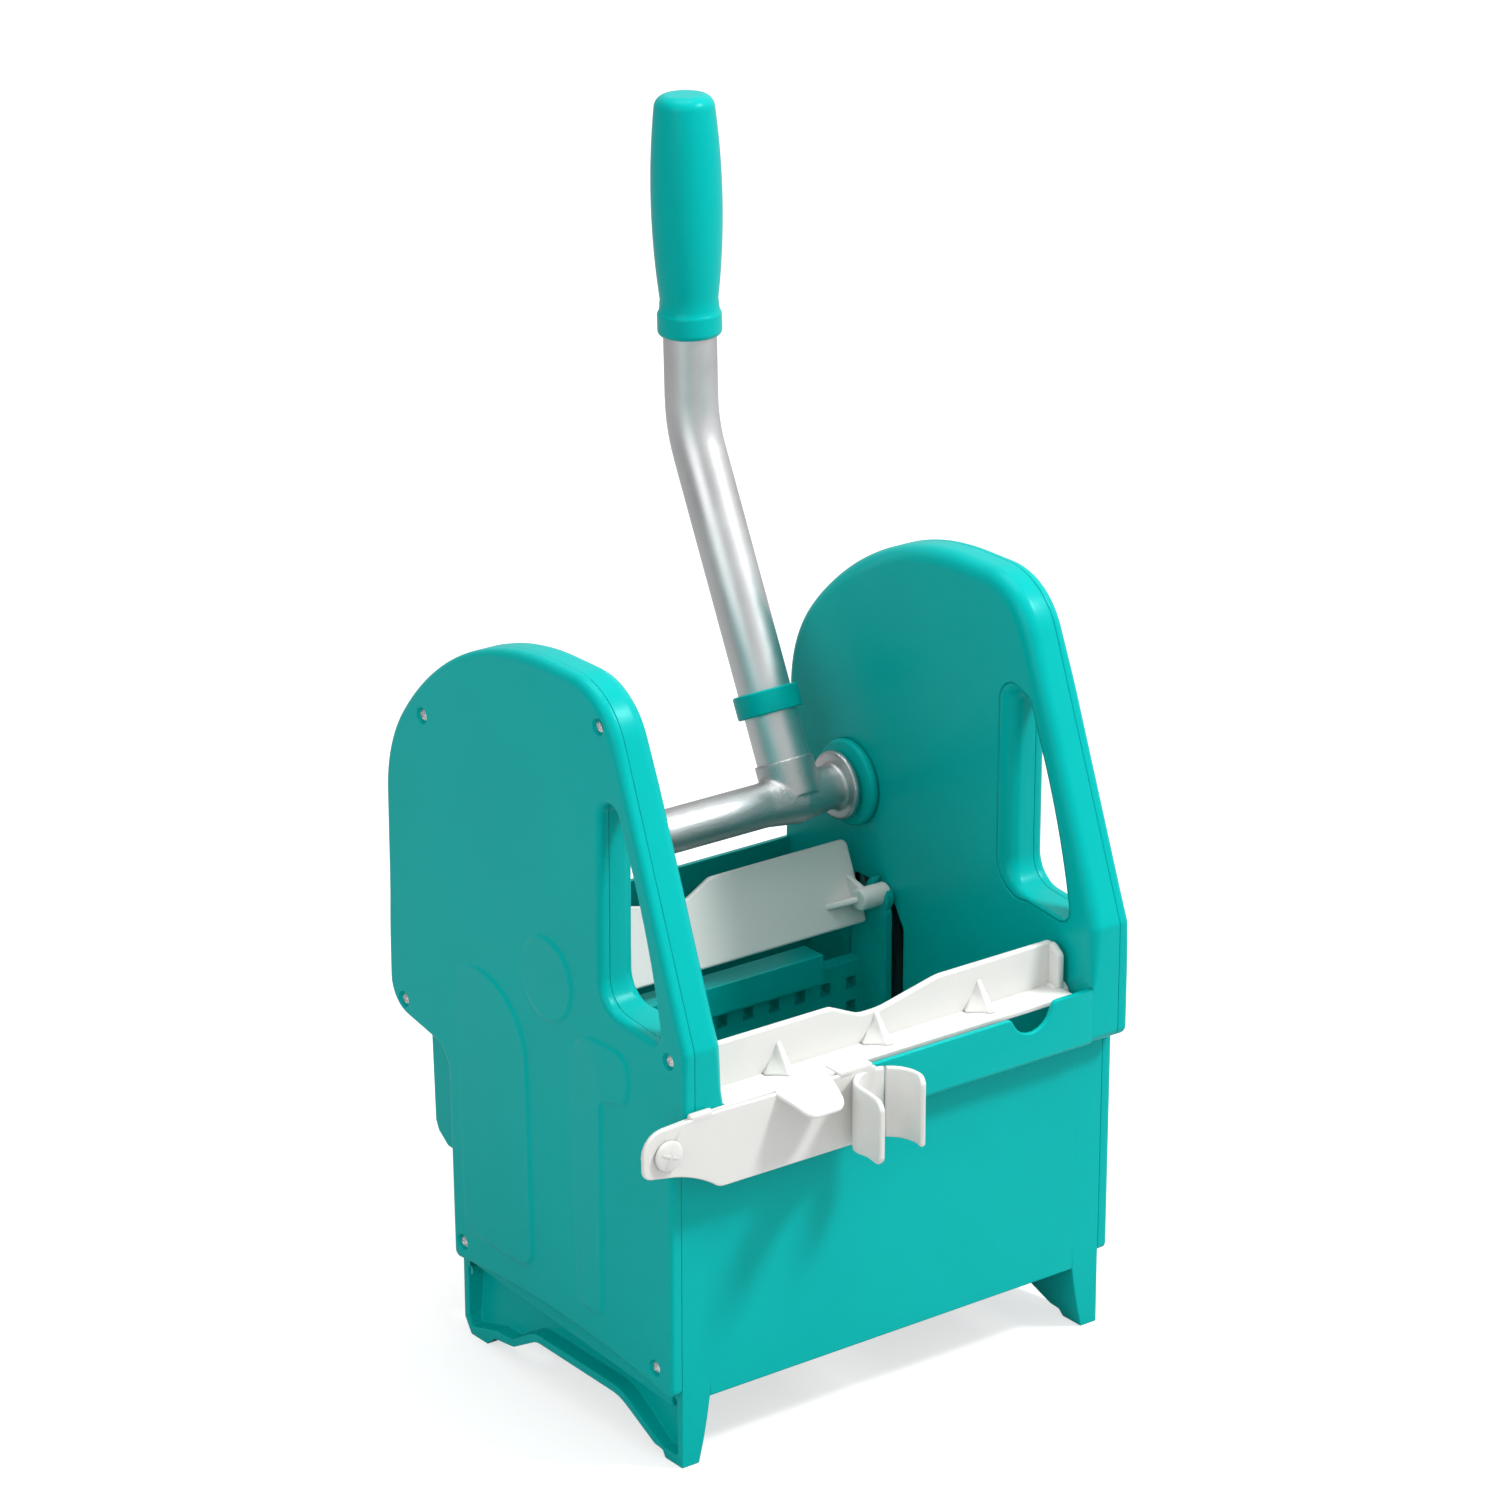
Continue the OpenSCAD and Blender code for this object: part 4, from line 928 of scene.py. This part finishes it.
BAR_FRONT, BAR_BACK = -16.0, -13.7
PIN_X, PIN_Z = -152.5, 140.0
HOLDER_TOP = 151.0  # upper edge of the clip, and foot of the hook
CLIP = (-30.0, -31.0, 16.5)  # x, y and radius
LIP_HALF = 1.5
LIP_TIP = 1.1
ARM_SIDE = [
    (-161.0, 134.8, 5.5), (-162.6, 60.4, -68.0), (-118.5, 123.3, 9.0), (-40.0, 116.0, 2.0),
    (-28.0, 150.5, 2.0), (-121.0, 152.5, 2.0), (-154.5, 141.5, 12.0)]
TONGUE = [(-48.0, -5.0, 1.0), (-48.0, -15.0, 1.0), (-29.5, -15.0, 1.0), (-29.5, -5.0, 1.0)]
TAB = [(-85.0, 0.0, 2.5), (-56.5, 0.0, 2.5), (-64.5, 12.6, 7.5), (-75.5, 12.6, 7.5)]
HOOK_Y = -13.9
HOOK = [(-138.2, 1.1, 155.5), (-137.8, 1.7, 156.1), (-137.0, 2.0, 156.4),  # x, half the width and top
        (-126.2, 2.0, 156.4), (-125.4, 1.7, 156.1), (-125.0, 1.1, 155.5)]


def corner_drop(distance, radius):
    """How far a rounded corner lies below its edge, at a distance from the end."""
    return radius - math.sqrt(max(0.0, radius ** 2 - max(0.0, radius - distance) ** 2))


def clip_side(bm, path, top_r, foot_r, foot_lift, low):
    """One lip of the clip, along a path that ends at its tip, whose corners are rounded."""
    lengths = [0.0]
    for p, q in zip(path, path[1:]):
        lengths.append(lengths[-1] + math.dist(p, q))
    stations = []
    for i, p in enumerate(path):
        a, b = path[max(0, i - 1)], path[min(len(path) - 1, i + 1)]
        tx, ty = b[0] - a[0], b[1] - a[1]
        size = math.hypot(tx, ty)
        left = lengths[-1] - lengths[i]
        half = LIP_HALF * (1 - 0.5 * max(0.0, 1 - left / LIP_TIP) ** 2)
        stations.append((*p, -ty / size, tx / size, half,
                         low + corner_drop(left + 0.2, foot_r) + foot_lift * ease(left, 30.0, 12.0),
                         HOLDER_TOP - corner_drop(left + 0.2, top_r)))
    lofted(bm, stations)


def handle_holder():
    bm = bmesh.new()
    slab(bm, smooth_outline(ARM_SIDE, 6.0, 3.0), lambda u, v, h: (u, h, v), BAR_FRONT, BAR_BACK, 0.8,
         [circle_outline(PIN_X, PIN_Z, 4.3, 24)])

    # Tongue that rests on the band
    slab(bm, smooth_outline(TONGUE, 20.0), lambda u, v, h: (u, v, h), HOLDER_TOP + 0.2, HOLDER_TOP + 3.4, 0.7)

    # Finger tab: a tongue that bows down from the bar's upper edge
    def bowed(u, v, h):
        return (u, BAR_FRONT + 0.6 - v * 0.95, HOLDER_TOP + 0.6 + h - 0.23 * v - 0.007 * v * max(v, 0))

    slab(bm, smooth_outline(TAB, 9.0, 2.0), bowed, 0.0, 2.8, 1.2)

    # Clip: two lips grow out of the bar; the left runs on to the front, the right curls in
    def arc(angles):
        return [on_circle(*CLIP, math.radians(a)) for a in angles]

    left_x, front_y = CLIP[0] - CLIP[2], CLIP[1]
    lip = [(left_x - 0.05 * d - 0.006 * d * d, front_y - d)
           for d in (2, 4, 6, 8, 10, 12, 13.5, 15, 16.5, 17.5, 18.3, 19, 19.5)]
    clip_side(bm, arc(spread(62, 180, 20)) + lip, top_r=6.5, foot_r=7.0, foot_lift=2.2, low=114.6)
    curl = arc(spread(60, -16, 14) + [-19, -21.5, -23.5, -25.2, -26.6, -27.6])
    clip_side(bm, curl, top_r=6.0, foot_r=2.6, foot_lift=0.0, low=113.4)

    # Small hook at the upper left
    lofted(bm, [(x, HOOK_Y, 0, 1, half, HOLDER_TOP, top) for x, half, top in HOOK])
    finish_mesh(bm, "swinging_holder_arm", WHITE, "holder", "holder_arm")


# The pin's profile: radius, and the distance in front of its rear end
PIN_BACK_Y = -11.6
PIN_PROFILE = ([(0.01, 0.0), (3.9, 0.0), (3.9, 4.9), (7.6, 4.9)] + rounded_corner(6.6, 5.9, 1.2, -40, 60, 5)
               + [(5.4, 7.3), (3.0, 7.75), (0.01, 7.9)])
CROSS_BARS = ((68, 7.4), (-22, 7.0))  # turn in degrees, and half the length
CROSS_FACE_Y = -18.6
CROSS_HALF = 1.7
CROSS_OUT = 1.3


def snap_pin():
    """The arm's pin with its domed head and the rounded cross on it."""
    bm = bmesh.new()
    capped(bm, [[bm.verts.new((x, PIN_BACK_Y - h, z))
                 for x, z in (on_circle(PIN_X, PIN_Z, r, a) for a in full_turn(40))] for r, h in PIN_PROFILE])
    for turn, reach in CROSS_BARS:
        a = math.radians(turn)
        rings = []
        for d in (-1.0, -0.96, -0.88, -0.7, -0.35, 0.0, 0.35, 0.7, 0.88, 0.96, 1.0):
            half = CROSS_HALF * math.sqrt(max(0.02, 1 - abs(d) ** 5))
            out = CROSS_OUT * math.sqrt(max(0.05, 1 - abs(d) ** 4))
            loop = []
            for b in full_turn(12):
                across = half * math.cos(b)
                loop.append(bm.verts.new((PIN_X + reach * d * math.cos(a) - across * math.sin(a),
                                          CROSS_FACE_Y - out * math.sin(b) + d * d,
                                          PIN_Z + reach * d * math.sin(a) + across * math.cos(a))))
            rings.append(loop)
        capped(bm, rings)
    finish_mesh(bm, "snap_pin", WHITE, "frame", "holder_pin")


handle_holder()
snap_pin()


# Jaws: moulded walls with their ledge, gussets, fins and pivots

JAW_T = 4.0
FRONT_EDGE = (14.0, 138.0)  # y and z of the lower edge, here and below
LEDGE = [(-109.0, -2.0, 1.0), (109.0, -2.0, 1.0), (109.0, 15.0, 1.0), (-109.0, 15.0, 1.0)]
LEDGE_LOW, LEDGE_TOP = 147.0, 150.0
GUSSET_PLACES = (-63.5, -3.0, 62.0)
GUSSET_FOOT_Z, GUSSET_TOP = 149.2, 164.5
GUSSET_BACK, GUSSET_FOOT_Y, GUSSET_FLARE = 14.6, 2.2, 9.0
FRONT_END = [(8.4, 148.6, 1.6), (16.0, 148.6, 1.6), (14.2, 168.5, 3.8), (10.4, 166.0, 3.6)]
FRONT_PIVOT = [(3.2, 105.0), (6.0, 106.0), (6.4, 107.0), (6.4, 113.6), (6.0, 114.6), (5.2, 115.0),
               (4.5, 115.0), (4.5, 117.2), (4.1, 117.6)]
REAR_LEAN = math.radians(24)
REAR_EDGE = (160.0, 136.0)
REAR_AXLE = (155.0, 152.0)
REAR_FIN = [(84.0, 0.6, 1.0), (99.5, -9.5, 3.0), (103.5, -10.5, 3.0), (104.5, 1.0, 1.0)]
REAR_END = [(-9.5, 12.8, 5.0), (1.0, 8.5, 1.0), (1.0, 26.0, 1.0)]
REAR_PIVOT = [(4.6, 96.8), (5.6, 97.2), (6.0, 98.0), (6.0, 113.6), (5.7, 114.3), (5.0, 114.6)]


def jaw_outline(half, height, shift):
    """A jaw's wall; the dip in its upper edge is steep at one side and slow at the other."""
    dip, dip_x = 8.0, 27.0
    return [(2 - half, 2, 2), (half - 2, 2, 2), (half - 4, height - 4, 4),
            (dip_x + 13 + shift, height - 30, 30), (shift - 4, height - dip + 40, -40),
            (shift - dip_x / 3, height - dip + 16, -16), (shift - dip_x - 5, height - 8, 8),
            (4 - half, height - 4, 4)]


def pivot(bm, side, y, z, profile):
    """A turned boss or pin along x; the profile is (radius, distance from the middle)."""
    capped(bm, [ring(bm, [on_circle(y, z, r, a) for a in full_turn(36)], side * x) for r, x in profile])


def gusset(bm, x):
    """A fin against the jaw's wall; its left flank runs out into the ledge in a curve."""
    back = GUSSET_BACK
    rings = []
    for t in spread(0.0, 1.0, 8):
        z = GUSSET_FOOT_Z + (GUSSET_TOP - GUSSET_FOOT_Z) * t
        front = GUSSET_FOOT_Y + (back - GUSSET_FOOT_Y - 1.0) * t
        right = x + 2.6 - 1.3 * t
        left = x - 2.2 + 0.9 * t
        flare = GUSSET_FLARE * (1 - t) ** 1.7
        rings.append([bm.verts.new((px, py, z)) for px, py in (
            (right, back), (right, front + 0.8), (right - 0.8, front), (left + 0.8, front),
            (left, front + 0.8), (left - flare * 0.3, front + 2.2 + 2.0 * (1 - t)),
            (left - flare, min(back - 0.1, front + 5.0 + 3.0 * (1 - t))), (left - flare, back))])
    capped(bm, rings)


def front_jaw():
    bm = bmesh.new()
    wall = smooth_outline(jaw_outline(112.0, 35.0, 0.0), 6.0, 3.0)
    slab(bm, wall, lambda u, v, h: (u, FRONT_EDGE[0] + h, FRONT_EDGE[1] + v), 0.0, JAW_T, 1.3)
    slab(bm, smooth_outline(LEDGE, 20.0), lambda u, v, h: (u, v, h), LEDGE_LOW, LEDGE_TOP, 0.8)
    for x in GUSSET_PLACES:
        gusset(bm, x)
    for side in (-1, 1):
        slab(bm, smooth_outline(FRONT_END, 12.0), lambda u, v, h: (side * h, u, v), 107.6, 112.0, 1.5)
        pivot(bm, side, *FRONT_PIN, FRONT_PIVOT)
    finish_mesh(bm, "tilting_front_jaw", WHITE, "front_jaw", "front_jaw")


def rear_jaw():
    """The rear jaw leans back, with its axle before its lower edge."""
    lean_y, lean_z = math.sin(REAR_LEAN), math.cos(REAR_LEAN)

    def leaned(u, v, h):
        return (-u, REAR_EDGE[0] + h * lean_z + v * lean_y, REAR_EDGE[1] - h * lean_y + v * lean_z)

    bm = bmesh.new()
    slab(bm, smooth_outline(jaw_outline(107.0, 45.0, 12.0), 6.0, 3.0), leaned, 0.0, JAW_T, 1.3)
    fin, end = smooth_outline(REAR_FIN, 12.0, 2.0), smooth_outline(REAR_END, 12.0, 2.0)
    for side in (-1, 1):
        slab(bm, fin, lambda u, v, h: leaned(-side * u, h, v), 11.0, 14.4, 1.1)
        slab(bm, end, lambda u, v, h: leaned(-side * h, v, u), 100.5, 104.0, 1.2)
        pivot(bm, side, *REAR_AXLE, REAR_PIVOT)
    finish_mesh(bm, "tilting_rear_jaw", WHITE, "rear_jaw", "rear_jaw")


front_jaw()
rear_jaw()


# Floor, light and camera

FLOOR_HALF = 6.0
FLOOR_GLOW = 0.66
WORLD_DARK = 0.2
WORLD_BRIGHT = 0.9
KEY_WAY = (0.55, -0.35, 0.75)
MIDDLE = (0.0, 0.0, 0.25)


def for_camera(tree, usual, seen):
    """A shader that looks otherwise to the camera than it acts as a light."""
    rays = add_node(tree, "ShaderNodeLightPath").outputs
    straight = arithmetic(tree, "MAXIMUM", rays["Is Camera Ray"], rays["Is Transmission Ray"])
    return add_node(tree, "ShaderNodeMixShader", {"Fac": straight, 1: usual, 2: seen}).outputs["Shader"]


def floor():
    """A pale floor that keeps the shadow and looks white to the camera."""
    bm = bmesh.new()
    bmesh.ops.create_grid(bm, x_segments=1, y_segments=1, size=FLOOR_HALF)
    mesh = mesh_of(bm, "floor")
    add_object("floor", mesh)
    paper, tree, shader = new_material("pale_floor")
    cloud = noise(tree, object_position(tree), 1.2, 2.0)
    feed(tree, shader, {"Roughness": 0.9, "Base Color": remap(tree, cloud, 0.0, 1.0, 0.44, 0.47)})
    glow = add_node(tree, "ShaderNodeEmission", {"Strength": FLOOR_GLOW}).outputs["Emission"]
    glowing = add_node(tree, "ShaderNodeAddShader", {0: shader.outputs["BSDF"], 1: glow}).outputs["Shader"]
    output = next(n for n in tree.nodes if n.bl_idname == "ShaderNodeOutputMaterial")
    feed(tree, output, {"Surface": for_camera(tree, shader.outputs["BSDF"], glowing)})
    mesh.materials.append(paper)


def sky():
    """A white world, brighter towards the key side so that metal shows its form."""
    world = bpy.data.worlds.new("studio")
    bpy.context.scene.world = world
    world.use_nodes = True
    tree = world.node_tree
    direction = add_node(tree, "ShaderNodeTexCoord").outputs["Generated"]
    facing = add_node(tree, "ShaderNodeVectorMath", {0: direction, 1: KEY_WAY}, operation="DOT_PRODUCT")
    strength = remap(tree, facing.outputs["Value"], -0.5, 0.95, WORLD_DARK, WORLD_BRIGHT)
    light = tree.nodes["Background"]
    feed(tree, light, {"Color": (1.0, 1.0, 1.0, 1), "Strength": strength})
    white = add_node(tree, "ShaderNodeBackground", {"Strength": 1.0}).outputs["Background"]
    feed(tree, tree.nodes["World Output"], {"Surface": for_camera(tree, light.outputs["Background"], white)})


def lamp(name, place_m, size, power):
    """A soft square lamp that points at the wringer's middle."""
    light = bpy.data.lights.new(name, "AREA")
    light.shape = "SQUARE"
    light.size = size
    light.energy = power
    holder = add_object(name, light)
    holder.location = place_m
    holder.rotation_euler = (Vector(MIDDLE) - Vector(place_m)).to_track_quat("-Z", "Y").to_euler()


floor()
sky()
lamp("front_right_softbox", (1.5, -1.5, 2.6), 0.5, 74.0)
lamp("left_softbox", (-2.6, -0.9, 1.3), 1.8, 21.0)
lamp("top_softbox", (0.1, 0.3, 2.8), 1.4, 26.0)

view = bpy.data.cameras.new("photo_view")
view.lens = CAMERA_LENS
view.sensor_width = 36.0
view.dof.use_dof = False
camera = add_object("photo_view", view)
camera.location = CAMERA_PLACE
camera.rotation_euler = (math.radians(CAMERA_TILT), 0.0, math.radians(CAMERA_TURN))
bpy.context.scene.camera = camera
bpy.context.scene.view_settings.view_transform = "Standard"
